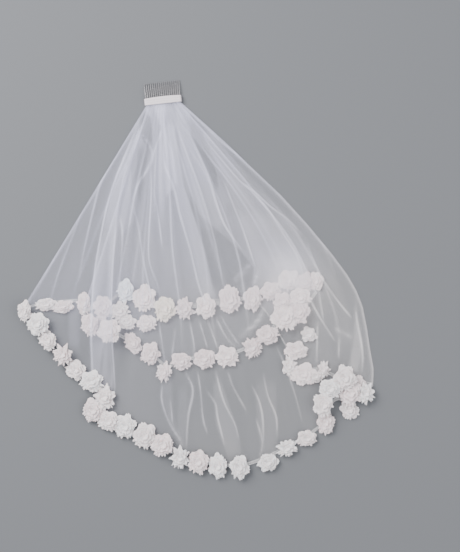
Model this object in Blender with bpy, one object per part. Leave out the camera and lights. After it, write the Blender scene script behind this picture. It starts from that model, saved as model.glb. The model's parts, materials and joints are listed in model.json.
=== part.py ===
"""A two-tier bridal veil of soft net, gathered into a hair comb and laid flat.

Each tier is one oval of net, folded across at the gathers, so it is a flat pocket: an under layer, an over
layer and a rounded fold down each side. The short tier lies inside the long one. From the surface up the
layers are long front, short front, short back and long back. Chiffon flowers on a net tape edge every hem,
and each layer is draped over what lies below it.

Sizes are in millimetres and become metres when a mesh is made. The comb points to +Y and the surface that
the veil lies on is z = 0.
"""

import math

import bmesh
import bpy
import numpy as np
from mathutils.bvhtree import BVHTree

METRES = 0.001

# Net and tape
NET_WALL = 1.4
LAYER_GAP = 0.4
PIECE_GAP = 0.3
FOLD_REACH = 2.6
FOLD_INNER_REACH = 1.2
TAPE_WIDTH = 9.0
TAPE_WALL = 1.0

# Comb and binding, in the comb's own frame: its middle, and the turn of its bar
COMB_X = -70.0
COMB_Y = 374.0
COMB_TURN = math.radians(6.5)
BINDING_WIDTH = 78.0
BINDING_DEPTH = 13.8
BINDING_HEIGHT = 9.9
BINDING_WALL = 1.2
BINDING_ARCH = 1.6
GATHER_START = -0.6
GATHER_END = -BINDING_DEPTH / 2 - 1.6
SLEEVE_FLOOR = BINDING_WALL + PIECE_GAP
LEVEL_STEP = NET_WALL + LAYER_GAP
SLEEVE_RADIUS = 3.0
SLEEVE_CORNER_STEPS = 3
SLEEVE_SECTIONS = (-0.5, 0.0, 0.5)
COMB_TEETH = 18
TOOTH_PITCH = 4.15
TOOTH_LENGTH = 33.0
TOOTH_ROOT_HALF_WIDTH = 0.95
TOOTH_TAPER = 0.65
TOOTH_TAPER_POWER = 1.5
TOOTH_SECTIONS = (0.0, 0.3, 0.6, 0.85, 1.0)
TOOTH_SPLAY = (math.radians(0.5), math.radians(-5.0))
TOOTH_DROP = 3.7
BAR_WIDTH = 73.0
BAR_BOTTOM = 0.3
BAR_TOP = 5.6
BAR_THICK = 1.8
BAR_LEVEL = 5.6

# Height map of what already lies on the surface, and the steps in which a new layer is lifted clear of it
LIFT_PARTS = (0.3,) * 8
CELL = 3.0
MAP_LEFT = -420.0
MAP_LOW = -450.0
MAP_SIDE = 900.0

# Hems as they lie, from the left fold to the right fold: x, y
LONG_BACK_HEM = (
    (-362, -63), (-331, -97), (-278, -158), (-224, -212), (-208, -262), (-175, -302),
    (-104, -330), (-35, -374), (45, -391), (110, -390), (190, -355), (258, -312),
    (290, -256), (326, -258), (368, -226),
)
LONG_FRONT_HEM = (
    (-362, -63), (-314, -53), (-238, -50), (-186, -78), (-104, -93), (-14, -60), (91, -44),
    (138, -62), (166, -104), (190, -146), (216, -190), (262, -194), (303, -212), (368, -226),
)
SHORT_BACK_HEM = (
    (-236, -69), (-222, -97), (-180, -110), (-138, -134), (-96, -158), (-62, -186), (-33, -174),
    (16, -166), (64, -162), (114, -143), (148, -118), (184, -80), (224, -63), (252, -30),
)
SHORT_FRONT_HEM = (
    (-236, -69), (-194, -57), (-148, -27), (-108, -38), (-66, -61), (20, -58), (117, -40),
    (154, -19), (192, -2), (228, -4), (252, -30),
)

# Layers: half of the gathered width at the comb, how far the right side bows out, and rows
LONG_TIER = {"half_gather": 34.5, "bow": 87.0, "rows": 18}
SHORT_TIER = {"half_gather": 31.0, "bow": 22.0, "rows": 14}
ROW_CROWDING = 0.75
CURVE_STEPS = 24
# The bow of the right side: places from the gathers to the hem, and the share of the bow at each
BOW_PLACES = (0.00, 0.16, 0.39, 0.50, 0.61, 0.69, 0.74, 0.79, 0.85, 0.90, 0.96, 1.00)
BOW_SHARES = (0.00, 0.33, 0.75, 0.88, 0.97, 1.00, 0.97, 0.88, 0.67, 0.47, 0.25, 0.00)
BOW_SPREAD = 4

# Main folds of each layer: where each lies across the layer (0 left, 1 right) at the gathers, half way and
# at the hem, its height and its width across the layer, and how much of its height is left at the hem
LONG_BACK_FOLDS = (
    {"gather": 0.04, "middle": 0.070, "hem": 0.120, "height": 4.0, "width": 0.022, "at_hem": 0.7},
    {"gather": 0.10, "middle": 0.150, "hem": 0.220, "height": 7.5, "width": 0.018, "at_hem": 0.9},
    {"gather": 0.16, "middle": 0.215, "hem": 0.290, "height": 7.0, "width": 0.018, "at_hem": 0.8},
    {"gather": 0.23, "middle": 0.290, "hem": 0.355, "height": 4.5, "width": 0.020, "at_hem": 0.5},
    {"gather": 0.30, "middle": 0.350, "hem": 0.410, "height": 5.5, "width": 0.018, "at_hem": 0.6},
    {"gather": 0.37, "middle": 0.410, "hem": 0.455, "height": 6.5, "width": 0.017, "at_hem": 0.8},
    {"gather": 0.43, "middle": 0.465, "hem": 0.500, "height": 5.0, "width": 0.017, "at_hem": 0.7},
    {"gather": 0.50, "middle": 0.520, "hem": 0.545, "height": 6.0, "width": 0.018, "at_hem": 0.8},
    {"gather": 0.57, "middle": 0.575, "hem": 0.580, "height": 4.0, "width": 0.017, "at_hem": 0.5},
    {"gather": 0.64, "middle": 0.630, "hem": 0.625, "height": 6.5, "width": 0.019, "at_hem": 0.9},
    {"gather": 0.71, "middle": 0.690, "hem": 0.675, "height": 5.0, "width": 0.018, "at_hem": 0.5},
    {"gather": 0.78, "middle": 0.760, "hem": 0.740, "height": 6.0, "width": 0.020, "at_hem": 0.6},
    {"gather": 0.85, "middle": 0.840, "hem": 0.830, "height": 4.5, "width": 0.018, "at_hem": 0.4},
    {"gather": 0.91, "middle": 0.905, "hem": 0.900, "height": 5.5, "width": 0.018, "at_hem": 0.6},
    {"gather": 0.96, "middle": 0.962, "hem": 0.965, "height": 4.0, "width": 0.016, "at_hem": 0.6},
)
SHORT_BACK_FOLDS = (
    {"gather": 0.10, "middle": 0.130, "hem": 0.150, "height": 2.5, "width": 0.030, "at_hem": 0.6},
    {"gather": 0.28, "middle": 0.290, "hem": 0.310, "height": 2.0, "width": 0.030, "at_hem": 0.7},
    {"gather": 0.45, "middle": 0.460, "hem": 0.470, "height": 2.5, "width": 0.030, "at_hem": 0.6},
    {"gather": 0.62, "middle": 0.620, "hem": 0.630, "height": 2.0, "width": 0.030, "at_hem": 0.7},
    {"gather": 0.80, "middle": 0.800, "hem": 0.790, "height": 2.5, "width": 0.030, "at_hem": 0.5},
)
FOLD_FULL_AT = 0.22
SMALL_GATHERS = 15
SMALL_GATHER_HEIGHT = 1.6
SMALL_GATHER_DRIFT = 3.0

# Flower middles along each hem: x, y
LONG_BACK_FLOWERS = (
    (-357, -66), (-330, -92), (-310, -127), (-278, -156), (-252, -189), (-218, -213),
    (-192, -246), (-216, -274), (-184, -297), (-149, -308), (-108, -328), (-70, -346),
    (-35, -373), (4, -381), (45, -391), (90, -392), (150, -383), (190, -353),
    (232, -333), (270, -300), (265, -261), (279, -228), (310, -206), (322, -238),
    (321, -274), (354, -238),
)
LONG_FRONT_FLOWERS = (
    (-314, -53), (-279, -57), (236, -116), (209, -149), (266, -189),
)
SHORT_BACK_FLOWERS = (
    (-221, -94), (-181, -107), (-133, -133), (-96, -156), (-68, -194), (-32, -171),
    (16, -166), (64, -161), (117, -143), (148, -117), (184, -78),
)
SHORT_FRONT_FLOWERS = (
    (-195, -57), (-148, -24), (-109, -39), (-67, -61), (-24, -61), (19, -57), (70, -42), (118, -41),
    (193, -2),
)
FLOWER_WIDTH = 46.0
FLOWER_VARIATION = 3.0
FLOWER_GAP = 0.8
TOP_FLOWER_HEIGHT = 13.0
COVERED_FLOWER_HEIGHT = 10.0
FLOWER_SIDES = 12
GOLDEN_TURN = 2.39996
# A flower's rings from its underside to its middle: share of its reach, share of its height, lobe depth
FLOWER_RINGS = (
    {"reach": 0.62, "height": 0.00, "lobes": 0.0},
    {"reach": 1.00, "height": 0.30, "lobes": 0.16},
    {"reach": 0.80, "height": 0.62, "lobes": 0.10},
    {"reach": 0.40, "height": 0.86, "lobes": 0.0},
)
SEAT_STEP = 0.5
DISC_RINGS = 10
DISC_SIDES = 40

# Colour, roughness and opacity of each material
FINISHES = {
    "soft_net": {"colour": (0.86, 0.85, 0.88), "roughness": 0.6, "alpha": 0.35},
    "net_tape": {"colour": (0.88, 0.85, 0.85), "roughness": 0.7, "alpha": 0.7},
    "chiffon": {"colour": (0.90, 0.85, 0.84), "roughness": 0.8, "alpha": 1.0},
    "satin": {"colour": (0.90, 0.84, 0.84), "roughness": 0.35, "alpha": 1.0},
    "clear_plastic": {"colour": (0.35, 0.33, 0.34), "roughness": 0.25, "alpha": 1.0},
}


def clear_scene():
    for thing in list(bpy.data.objects):
        bpy.data.objects.remove(thing, do_unlink=True)


def finish(name):
    """A plain material from the table of finishes."""
    values = FINISHES[name]
    material = bpy.data.materials.new(name)
    material.use_nodes = True
    shader = material.node_tree.nodes["Principled BSDF"]
    shader.inputs["Base Color"].default_value = (*values["colour"], 1.0)
    shader.inputs["Roughness"].default_value = values["roughness"]
    shader.inputs["Metallic"].default_value = 0.0
    shader.inputs["Alpha"].default_value = values["alpha"]
    return material


def object_from(name, points, faces, material):
    """A mesh object from points in millimetres."""
    mesh = bpy.data.meshes.new(name)
    mesh.from_pydata([tuple(METRES * float(value) for value in point) for point in points], [], faces)
    mesh.materials.append(material)
    body = bmesh.new()
    body.from_mesh(mesh)
    bmesh.ops.recalc_face_normals(body, faces=body.faces)
    body.to_mesh(mesh)
    body.free()
    thing = bpy.data.objects.new(name, mesh)
    bpy.context.scene.collection.objects.link(thing)
    return thing


def from_comb(across, along):
    """A plan point given in the comb's own frame: across its bar, and along its teeth."""
    cosine = math.cos(COMB_TURN)
    sine = math.sin(COMB_TURN)
    return (COMB_X + across * cosine - along * sine, COMB_Y + across * sine + along * cosine)


def smooth_curve(points, count):
    """count + 1 points at even distances along a smooth curve through the given ones."""
    knots = np.array(points, float)
    ends = np.vstack([2 * knots[0] - knots[1], knots, 2 * knots[-1] - knots[-2]])
    steps = np.linspace(0.0, 1.0, CURVE_STEPS, endpoint=False)[:, None]
    pieces = []
    for before, start, end, after in zip(ends[:-3], ends[1:-2], ends[2:-1], ends[3:]):
        rise = (end - before) * steps
        bend = (2 * before - 5 * start + 4 * end - after) * steps**2
        twist = (3 * start - before - 3 * end + after) * steps**3
        pieces.append(0.5 * (2 * start + rise + bend + twist))
    fine = np.vstack(pieces + [knots[-1:]])
    walked = np.concatenate([[0.0], np.cumsum(np.hypot(*np.diff(fine, axis=0).T))])
    wanted = np.linspace(0.0, walked[-1], count + 1)
    return np.stack([np.interp(wanted, walked, fine[:, axis]) for axis in (0, 1)], axis=1)


class HeightMap:
    """The highest point of what has been laid down so far, over each cell of the surface."""

    def __init__(self):
        side = int(MAP_SIDE / CELL)
        self.top = np.zeros((side, side))

    def cells(self, points):
        column = ((points[..., 0] - MAP_LEFT) / CELL).astype(int)
        row = ((points[..., 1] - MAP_LOW) / CELL).astype(int)
        return row, column

    def add(self, points, heights):
        """Raise the cells under the points, and the cells beside them."""
        row, column = self.cells(points)
        for down in (-1, 0, 1):
            for over in (-1, 0, 1):
                np.maximum.at(self.top, (row + down, column + over), heights)

    def highest(self, points):
        return self.top[self.cells(points)]


def inside_quads(grid):
    """Points spread over both triangles of every quad of a grid, as (rows, columns, many, values)."""
    longest = np.hypot(*np.diff(grid[..., :2], axis=0).reshape(-1, 2).T).max()
    widest = np.hypot(*np.diff(grid[..., :2], axis=1).reshape(-1, 2).T).max()
    along = np.linspace(0.0, 1.0, int(longest / CELL) + 2)[:, None, None]
    across = np.linspace(0.0, 1.0, int(widest / CELL) + 2)[None, :, None]
    a = grid[:-1, :-1, None, None]
    b = grid[:-1, 1:, None, None]
    c = grid[1:, 1:, None, None]
    d = grid[1:, :-1, None, None]
    first = a + across * (b - a) + along * (c - b)
    second = a + along * (d - a) + across * (c - d)
    spread = np.where(across >= along, first, second)
    return spread.reshape(*spread.shape[:2], -1, grid.shape[-1])


def lay_plan(tier, hem, columns, order):
    """Plan points of one layer: rows from the gathers to the hem, columns from fold to fold.

    The columns of an upper layer run from left to right (order 1), those of an under layer back again (-1).
    """
    ends = smooth_curve(hem, columns)
    share = np.linspace(0.0, 1.0, columns + 1)
    across = tier["half_gather"] * (2 * share - 1)
    gathered = np.array([from_comb(place, GATHER_START) for place in across])
    starts = np.array([from_comb(place, GATHER_END) for place in across])
    chords = ends - starts
    lengths = np.hypot(chords[:, 0], chords[:, 1])
    reach = np.linspace(0.0, 1.0, tier["rows"] - 2)[:, None] ** ROW_CROWDING * (1.0 - TAPE_WIDTH / lengths)
    reach = np.vstack([reach, 0.0 * lengths + 1.0])
    outward = np.stack([-chords[:, 1], chords[:, 0]], axis=1) / lengths[:, None]
    bow = tier["bow"] * share**BOW_SPREAD * np.interp(reach, BOW_PLACES, BOW_SHARES)
    fan = starts + chords * reach[..., None] + outward * bow[..., None]
    plan = np.vstack([gathered[None], fan])
    return plan[:, ::order], share[::order], np.vstack([reach[:1], reach])[:, ::order]


def fold_heights(folds, share, reach):
    """Height that the main folds and the small gathers add, never below nothing."""
    across = np.broadcast_to(share, reach.shape)
    heights = np.zeros(reach.shape)
    grown = np.clip(reach / FOLD_FULL_AT, 0.0, 1.0)
    for fold in folds:
        early = fold["gather"] * (1 - reach) ** 2 + fold["middle"] * 2 * reach * (1 - reach)
        centre = early + fold["hem"] * reach**2
        size = fold["height"] * grown * (1 - (1 - fold["at_hem"]) * reach**3)
        heights += size * np.exp(-(((across - centre) / fold["width"]) ** 2))
    ripple = (1 + np.cos(2 * math.pi * SMALL_GATHERS * across + SMALL_GATHER_DRIFT * reach)) / 2
    heights += SMALL_GATHER_HEIGHT * ripple * grown * (1 - reach / 2)
    heights[:2] = 0.0
    return heights


def beside_each(quads):
    """For every grid point, the highest value among the quads that meet there."""
    padded = np.pad(quads, 1)
    return np.maximum.reduce([padded[:-1, :-1], padded[:-1, 1:], padded[1:, :-1], padded[1:, 1:]])


def drape(plan, level, lower, folds, share, reach):
    """Underside of a layer that clears everything in the height map, with its folds on top of that.

    Points start on what is right under them. Those round a quad that still dips into the map are lifted in
    small steps, no higher than everything near them, and the last ones go straight to that height.
    """
    highest = beside_each(lower.highest(inside_quads(plan)).max(axis=2))
    base = lower.highest(plan)
    for part in LIFT_PARTS:
        spread = inside_quads(np.dstack([plan, base]))
        short = beside_each(np.clip(lower.highest(spread[..., :2]) - spread[..., 2], 0.0, None).max(axis=2))
        base = np.where(short > 0, np.minimum(highest, base + part * short), base)
    spread = inside_quads(np.dstack([plan, base]))
    short = beside_each(np.clip(lower.highest(spread[..., :2]) - spread[..., 2], 0.0, None).max(axis=2))
    base = np.where(short > 0, highest, base)
    base = np.where(base > 0, base + LAYER_GAP, 0.0)
    base[:2] = SLEEVE_FLOOR + level * LEVEL_STEP
    return base + fold_heights(folds, share, reach)


def lay_on(lower, plan, top):
    """Add a layer's upper face to the height map."""
    spread = inside_quads(np.dstack([plan, top]))
    lower.add(spread[..., :2], spread[..., 2])


def fold_edge(plan, column, side):
    """Directions straight out of a side fold, for each row."""
    line = plan[:, column]
    along = np.gradient(line, axis=0)
    along /= np.hypot(along[:, 0], along[:, 1])[:, None]
    return side * np.stack([-along[:, 1], along[:, 0]], axis=1)


def quad_faces(rows, columns, index, turn=False):
    """Two triangles for each quad between neighbouring rows and columns, always cut the same way."""
    faces = []
    for row in range(rows - 1):
        for column in range(columns - 1):
            a = index(row, column)
            b = index(row, column + 1)
            c = index(row + 1, column + 1)
            d = index(row + 1, column)
            faces += [(a, c, b), (a, d, c)] if turn else [(a, b, c), (a, c, d)]
    return faces


def wall_faces(rows, around):
    """Faces of a thick-walled tube: its outer rings, its inner rings, and the two rims between them."""
    shift = rows * around
    faces = quad_faces(rows, around + 1, lambda row, column: row * around + column % around)
    faces += quad_faces(rows, around + 1, lambda row, column: shift + row * around + column % around, True)
    for row, turn in ((0, True), (rows - 1, False)):
        start = row * around
        faces += quad_faces(
            2, around + 1, lambda ring, column: ring * shift + start + column % around, turn
        )
    return faces


def tier_solid(name, over_plan, over_base, under_plan, under_base, material):
    """One wall that runs over the upper layer, round the right fold, back under it and round the left fold."""
    rows = over_plan.shape[0]
    over_top = over_base + NET_WALL
    under_top = under_base + NET_WALL
    right = fold_edge(over_plan, -1, 1.0)
    left = fold_edge(over_plan, 0, -1.0)
    outer = []
    inner = []
    for row in range(rows):
        right_level = (under_base[row, 0] + over_top[row, -1]) / 2
        left_level = (under_base[row, -1] + over_top[row, 0]) / 2
        right_spot = over_plan[row, -1]
        left_spot = over_plan[row, 0]
        outer += [(*spot, high) for spot, high in zip(over_plan[row], over_top[row])]
        outer += [(*(right_spot + FOLD_REACH * right[row]), right_level)]
        outer += [(*spot, low) for spot, low in zip(under_plan[row], under_base[row])]
        outer += [(*(left_spot + FOLD_REACH * left[row]), left_level)]
        inner += [(*spot, high) for spot, high in zip(over_plan[row], over_base[row])]
        inner += [(*(right_spot + FOLD_INNER_REACH * right[row]), right_level)]
        inner += [(*spot, low) for spot, low in zip(under_plan[row], under_top[row])]
        inner += [(*(left_spot + FOLD_INNER_REACH * left[row]), left_level)]
    around = len(outer) // rows
    return object_from(name, outer + inner, wall_faces(rows, around), material)


def tape_solid(name, plan, top, material):
    """A narrow strip along a hem, made from the layer's own last two rows, moved out."""
    columns = plan.shape[1]
    points = []
    for lift in (PIECE_GAP, PIECE_GAP + TAPE_WALL):
        for row in (-2, -1):
            points += [(*spot, high + lift) for spot, high in zip(plan[row], top[row])]
    faces = quad_faces(2, columns, lambda row, column: row * columns + column)
    faces += quad_faces(2, columns, lambda row, column: (2 + row) * columns + column, True)
    for row in (0, 1):
        faces += quad_faces(2, columns, lambda ring, column: (2 * ring + row) * columns + column, row == 0)
    for column in (0, columns - 1):
        a = column
        b = columns + column
        faces += [(a, b, 3 * columns + column), (a, 3 * columns + column, 2 * columns + column)]
    return object_from(name, points, faces, material)


def flower_reaches(places):
    """Half widths, so that no flower meets its neighbour."""
    spots = np.array(places, float)
    apart = np.hypot(*(spots[:, None] - spots[None]).transpose(2, 0, 1))
    np.fill_diagonal(apart, np.inf)
    number = np.arange(len(spots))
    wanted = FLOWER_WIDTH / 2 + FLOWER_VARIATION / 2 * np.sin(GOLDEN_TURN * number)
    return np.minimum(wanted, apart.min(axis=1) / 2 - FLOWER_GAP / 2)


def flower_solid(name, place, reach, base, height, turn, material):
    """A rosette of round lobes, domed towards its middle."""
    points = [(*place, base)]
    for ring in FLOWER_RINGS:
        for side in range(FLOWER_SIDES):
            angle = turn + 2 * math.pi * side / FLOWER_SIDES
            lobe = 1.0 - ring["lobes"] * (side % 2)
            wide = reach * ring["reach"] * lobe
            spot = (place[0] + wide * math.cos(angle), place[1] + wide * math.sin(angle))
            points.append((*spot, base + height * ring["height"]))
    points.append((*place, base + height))
    last = len(points) - 1
    faces = quad_faces(
        len(FLOWER_RINGS), FLOWER_SIDES + 1, lambda row, column: 1 + row * FLOWER_SIDES + column % FLOWER_SIDES
    )
    for side in range(FLOWER_SIDES):
        following = (side + 1) % FLOWER_SIDES
        faces.append((0, 1 + following, 1 + side))
        faces.append((last, last - FLOWER_SIDES + side, last - FLOWER_SIDES + following))
    return object_from(name, points, faces, material)


def layer_tree(plan, top):
    """A layer's upper face and the tape along its hem, ready to be hit by rays."""
    rows, columns = top.shape
    taped = top[-2:] + PIECE_GAP + TAPE_WALL
    points = np.vstack([np.dstack([plan, top]).reshape(-1, 3), np.dstack([plan[-2:], taped]).reshape(-1, 3)])
    faces = quad_faces(rows, columns, lambda row, column: row * columns + column)
    faces += quad_faces(2, columns, lambda row, column: (rows + row) * columns + column)
    return BVHTree.FromPolygons(points.tolist(), faces)


def seat(tree, place, reach, height, turn):
    """The height at which a flower's underside just clears the layer it is sewn to."""
    middle, rim = FLOWER_RINGS[:2]
    highest = 0.0
    for ring in range(int(reach / SEAT_STEP) + 1):
        out = ring * SEAT_STEP
        many = max(1, int(2 * math.pi * out / SEAT_STEP))
        for step in range(many):
            angle = 2 * math.pi * step / many
            side = (angle - turn) / (2 * math.pi / FLOWER_SIDES) % 2
            edge = reach * (1.0 - rim["lobes"] * (1.0 - abs(side - 1.0)))
            if out > edge:
                continue
            rise = max(0.0, (out - middle["reach"] * reach) / (edge - middle["reach"] * reach))
            above = (place[0] + out * math.cos(angle), place[1] + out * math.sin(angle), MAP_SIDE)
            hit = tree.ray_cast(above, (0.0, 0.0, -1.0))[0]
            if hit:
                highest = max(highest, hit.z - rise * rim["height"] * height)
    return highest + PIECE_GAP


def sew_flowers(row_name, places, reaches, height, tree, lower, turn_from, material):
    """A row of flowers, each seated on the layer under it."""
    rings = np.linspace(0.0, 1.0, DISC_RINGS)[:, None]
    around = np.linspace(0.0, 2 * math.pi, DISC_SIDES, endpoint=False)[None, :]
    unit_disc = np.stack([rings * np.cos(around), rings * np.sin(around)], axis=-1)
    for number, (place, reach) in enumerate(zip(places, reaches), start=1):
        turn = turn_from + GOLDEN_TURN * number
        base = seat(tree, place, reach, height, turn)
        flower_solid(f"flower_{row_name}_{number:02d}", place, reach, base, height, turn, material)
        lower.add(np.array(place) + reach * unit_disc, np.full(unit_disc.shape[:2], base + height))


def tooth_half_width(share):
    return TOOTH_ROOT_HALF_WIDTH - TOOTH_TAPER * share**TOOTH_TAPER_POWER


def comb_level(along):
    """The comb's middle height: level in its binding, then the teeth bend down to the surface."""
    past = max(0.0, along - BINDING_DEPTH / 2) / TOOTH_LENGTH
    return BAR_LEVEL - TOOTH_DROP * past**2


def comb_solid(material):
    """Bar and teeth as one flat sheet, bent, then given its thickness."""
    sheet = bmesh.new()

    def corner(across, along):
        spot = from_comb(across, along)
        high = comb_level(along) + BAR_THICK / 2
        return sheet.verts.new(tuple(METRES * value for value in (*spot, high)))

    middles = [TOOTH_PITCH * (tooth - (COMB_TEETH - 1) / 2) for tooth in range(COMB_TEETH)]
    roots = []
    for tooth, middle in enumerate(middles):
        splay = TOOTH_SPLAY[0] + (TOOTH_SPLAY[1] - TOOTH_SPLAY[0]) * tooth / (COMB_TEETH - 1)
        previous = None
        for share in TOOTH_SECTIONS:
            along = BAR_TOP + share * (BINDING_DEPTH / 2 + TOOTH_LENGTH - BAR_TOP)
            sideways = middle - math.tan(splay) * share * TOOTH_LENGTH
            half = tooth_half_width(share)
            pair = (corner(sideways - half, along), corner(sideways + half, along))
            if previous:
                sheet.faces.new((previous[0], previous[1], pair[1], pair[0]))
            else:
                roots += [(middle - half, pair[0]), (middle + half, pair[1])]
            previous = pair
    ends = [(side * BAR_WIDTH / 2, corner(side * BAR_WIDTH / 2, BAR_TOP)) for side in (-1, 1)]
    edge = [ends[0]] + roots + [ends[1]]
    low = [corner(across, BAR_BOTTOM) for across, _ in edge]
    for left in range(len(edge) - 1):
        sheet.faces.new((low[left], low[left + 1], edge[left + 1][1], edge[left][1]))
    made = bmesh.ops.extrude_face_region(sheet, geom=list(sheet.faces))
    moved = [item for item in made["geom"] if isinstance(item, bmesh.types.BMVert)]
    bmesh.ops.translate(sheet, verts=moved, vec=(0.0, 0.0, -BAR_THICK * METRES))
    bmesh.ops.recalc_face_normals(sheet, faces=sheet.faces)
    mesh = bpy.data.meshes.new("comb")
    sheet.to_mesh(mesh)
    sheet.free()
    mesh.materials.append(material)
    thing = bpy.data.objects.new("comb", mesh)
    bpy.context.scene.collection.objects.link(thing)
    return thing


def sleeve_outline(half_width, low, high, radius):
    """A rounded rectangle across the binding: distance across and height."""
    corners = (
        (half_width - radius, high - radius, 0.0),
        (-half_width + radius, high - radius, math.pi / 2),
        (-half_width + radius, low + radius, math.pi),
        (half_width - radius, low + radius, 3 * math.pi / 2),
    )
    outline = []
    for across, up, start in corners:
        for step in range(SLEEVE_CORNER_STEPS + 1):
            angle = start + math.pi / 2 * step / SLEEVE_CORNER_STEPS
            outline.append((across + radius * math.cos(angle), up + radius * math.sin(angle)))
    return outline


def binding_solid(material):
    """A flat sleeve of ribbon, open towards the teeth and towards the veil, with an arched top edge."""
    half = BINDING_WIDTH / 2
    inner_high = BINDING_HEIGHT - BINDING_WALL
    outside = sleeve_outline(half, 0.0, BINDING_HEIGHT, SLEEVE_RADIUS)
    inside = sleeve_outline(half - BINDING_WALL, BINDING_WALL, inner_high, SLEEVE_RADIUS - BINDING_WALL)
    around = len(outside)
    points = []
    for outline in (outside, inside):
        for share in SLEEVE_SECTIONS:
            for across, up in outline:
                arch = BINDING_ARCH * (1 - (across / half) ** 2) * (share + 0.5)
                points.append((*from_comb(across, share * BINDING_DEPTH + arch), up))
    return object_from("binding", points, wall_faces(len(SLEEVE_SECTIONS), around), material)


# The layers from the surface up: columns across each, and 1 where they run from left to right or -1
LAYERS = (
    {"name": "long_front", "tier": LONG_TIER, "hem": LONG_FRONT_HEM, "columns": 20, "order": -1,
     "folds": (), "flowers": LONG_FRONT_FLOWERS, "flower_height": COVERED_FLOWER_HEIGHT},
    {"name": "short_front", "tier": SHORT_TIER, "hem": SHORT_FRONT_HEM, "columns": 14, "order": -1,
     "folds": (), "flowers": SHORT_FRONT_FLOWERS, "flower_height": COVERED_FLOWER_HEIGHT},
    {"name": "short_back", "tier": SHORT_TIER, "hem": SHORT_BACK_HEM, "columns": 34, "order": 1,
     "folds": SHORT_BACK_FOLDS, "flowers": SHORT_BACK_FLOWERS, "flower_height": COVERED_FLOWER_HEIGHT},
    {"name": "long_back", "tier": LONG_TIER, "hem": LONG_BACK_HEM, "columns": 56, "order": 1,
     "folds": LONG_BACK_FOLDS, "flowers": LONG_BACK_FLOWERS, "flower_height": TOP_FLOWER_HEIGHT},
)


def main():
    clear_scene()
    net = finish("soft_net")
    tape_net = finish("net_tape")
    chiffon = finish("chiffon")

    laid = HeightMap()
    reaches = flower_reaches(sum((layer["flowers"] for layer in LAYERS), ()))
    splits = np.cumsum([len(layer["flowers"]) for layer in LAYERS])[:-1]
    made = {}
    for level, (layer, half_widths) in enumerate(zip(LAYERS, np.split(reaches, splits))):
        name = layer["name"]
        plan, share, reach = lay_plan(layer["tier"], layer["hem"], layer["columns"], layer["order"])
        base = drape(plan, level, laid, layer["folds"], share, reach)
        if level == 0:
            base[2:] = 0.0
        made[name] = (plan, base)
        top = base + NET_WALL
        lay_on(laid, plan, top)
        tape_solid(f"{name}_tape", plan, top, tape_net)
        lay_on(laid, plan[-2:], top[-2:] + PIECE_GAP + TAPE_WALL)
        tree = layer_tree(plan, top)
        sew_flowers(name, layer["flowers"], half_widths, layer["flower_height"], tree, laid, level, chiffon)

    for tier in ("long", "short"):
        tier_solid(f"{tier}_tier", *made[f"{tier}_back"], *made[f"{tier}_front"], net)
    comb_solid(finish("clear_plastic"))
    binding_solid(finish("satin"))


main()
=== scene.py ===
"""Looks of a two-tier bridal veil laid flat: see-through net, chiffon flowers, tape, satin binding and comb.

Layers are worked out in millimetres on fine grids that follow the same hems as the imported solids, and become
metres when a mesh is made. The comb points to +Y and the veil lies on z = 0.
"""

import json
import math
from collections import namedtuple

import bmesh
import bpy
import numpy as np
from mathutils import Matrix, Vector
from mathutils.bvhtree import BVHTree

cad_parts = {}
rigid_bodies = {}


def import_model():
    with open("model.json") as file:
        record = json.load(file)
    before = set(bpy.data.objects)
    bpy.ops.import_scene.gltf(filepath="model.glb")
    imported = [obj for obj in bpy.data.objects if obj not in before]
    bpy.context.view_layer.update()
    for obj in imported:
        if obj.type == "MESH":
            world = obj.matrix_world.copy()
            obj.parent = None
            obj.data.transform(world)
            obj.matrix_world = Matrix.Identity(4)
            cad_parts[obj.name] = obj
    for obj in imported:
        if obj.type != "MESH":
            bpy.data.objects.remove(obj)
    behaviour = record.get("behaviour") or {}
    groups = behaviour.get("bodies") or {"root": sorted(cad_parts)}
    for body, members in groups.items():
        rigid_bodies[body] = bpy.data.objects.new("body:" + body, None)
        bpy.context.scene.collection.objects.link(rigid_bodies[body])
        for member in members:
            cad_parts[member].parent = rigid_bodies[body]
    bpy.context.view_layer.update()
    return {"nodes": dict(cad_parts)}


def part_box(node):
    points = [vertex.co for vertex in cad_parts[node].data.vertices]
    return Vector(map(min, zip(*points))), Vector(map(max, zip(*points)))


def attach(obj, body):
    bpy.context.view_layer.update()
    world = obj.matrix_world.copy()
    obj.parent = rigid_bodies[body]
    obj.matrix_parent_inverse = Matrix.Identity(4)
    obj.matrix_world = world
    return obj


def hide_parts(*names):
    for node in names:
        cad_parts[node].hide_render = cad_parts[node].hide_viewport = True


bl_info = {
    "name": "Bridal veil",
    "version": (1, 0, 0),
    "blender": (4, 5, 0),
    "location": "View3D > Sidebar > Veil",
    "description": "Makes the net, flowers, tape, binding and comb of a bridal veil laid flat",
    "category": "Add Mesh",
}

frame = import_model()

METRES = 0.001
BODY = "root"

# Rows of the tables below, with the names of their columns
PANEL_FADE = 30.0
Crease = namedtuple("Crease", "width height plies line")
Panel = namedtuple("Panel", "plies rim soft left right fade", defaults=(PANEL_FADE,))
Pocket = namedtuple("Pocket", "depth soft left right fade", defaults=(PANEL_FADE,))
Ring = namedtuple("Ring", "petals reach half_width middle tip point turn")
Turn = namedtuple("Turn", "along inset swell")
Tier = namedtuple("Tier", "node half_gather bow rows")
Layer = namedtuple("Layer", "name tier hem columns from_above creases panels")

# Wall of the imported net, and how far the tape and the flowers lie over it, in millimetres
NET_WALL = 1.4
TAPE_LIFT = 0.45
SEAT_GAP = 0.35

# The comb's middle and the turn of its bar, and the binding round the bar, in millimetres
COMB_X = -70.0
COMB_Y = 374.0
COMB_TURN = math.radians(6.5)
BINDING_WIDTH = 78.0
BINDING_DEPTH = 13.8
BINDING_HEIGHT = 9.9
BINDING_WALL = 1.2
BINDING_ARCH = 1.6
BINDING_RADIUS = 3.0
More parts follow.
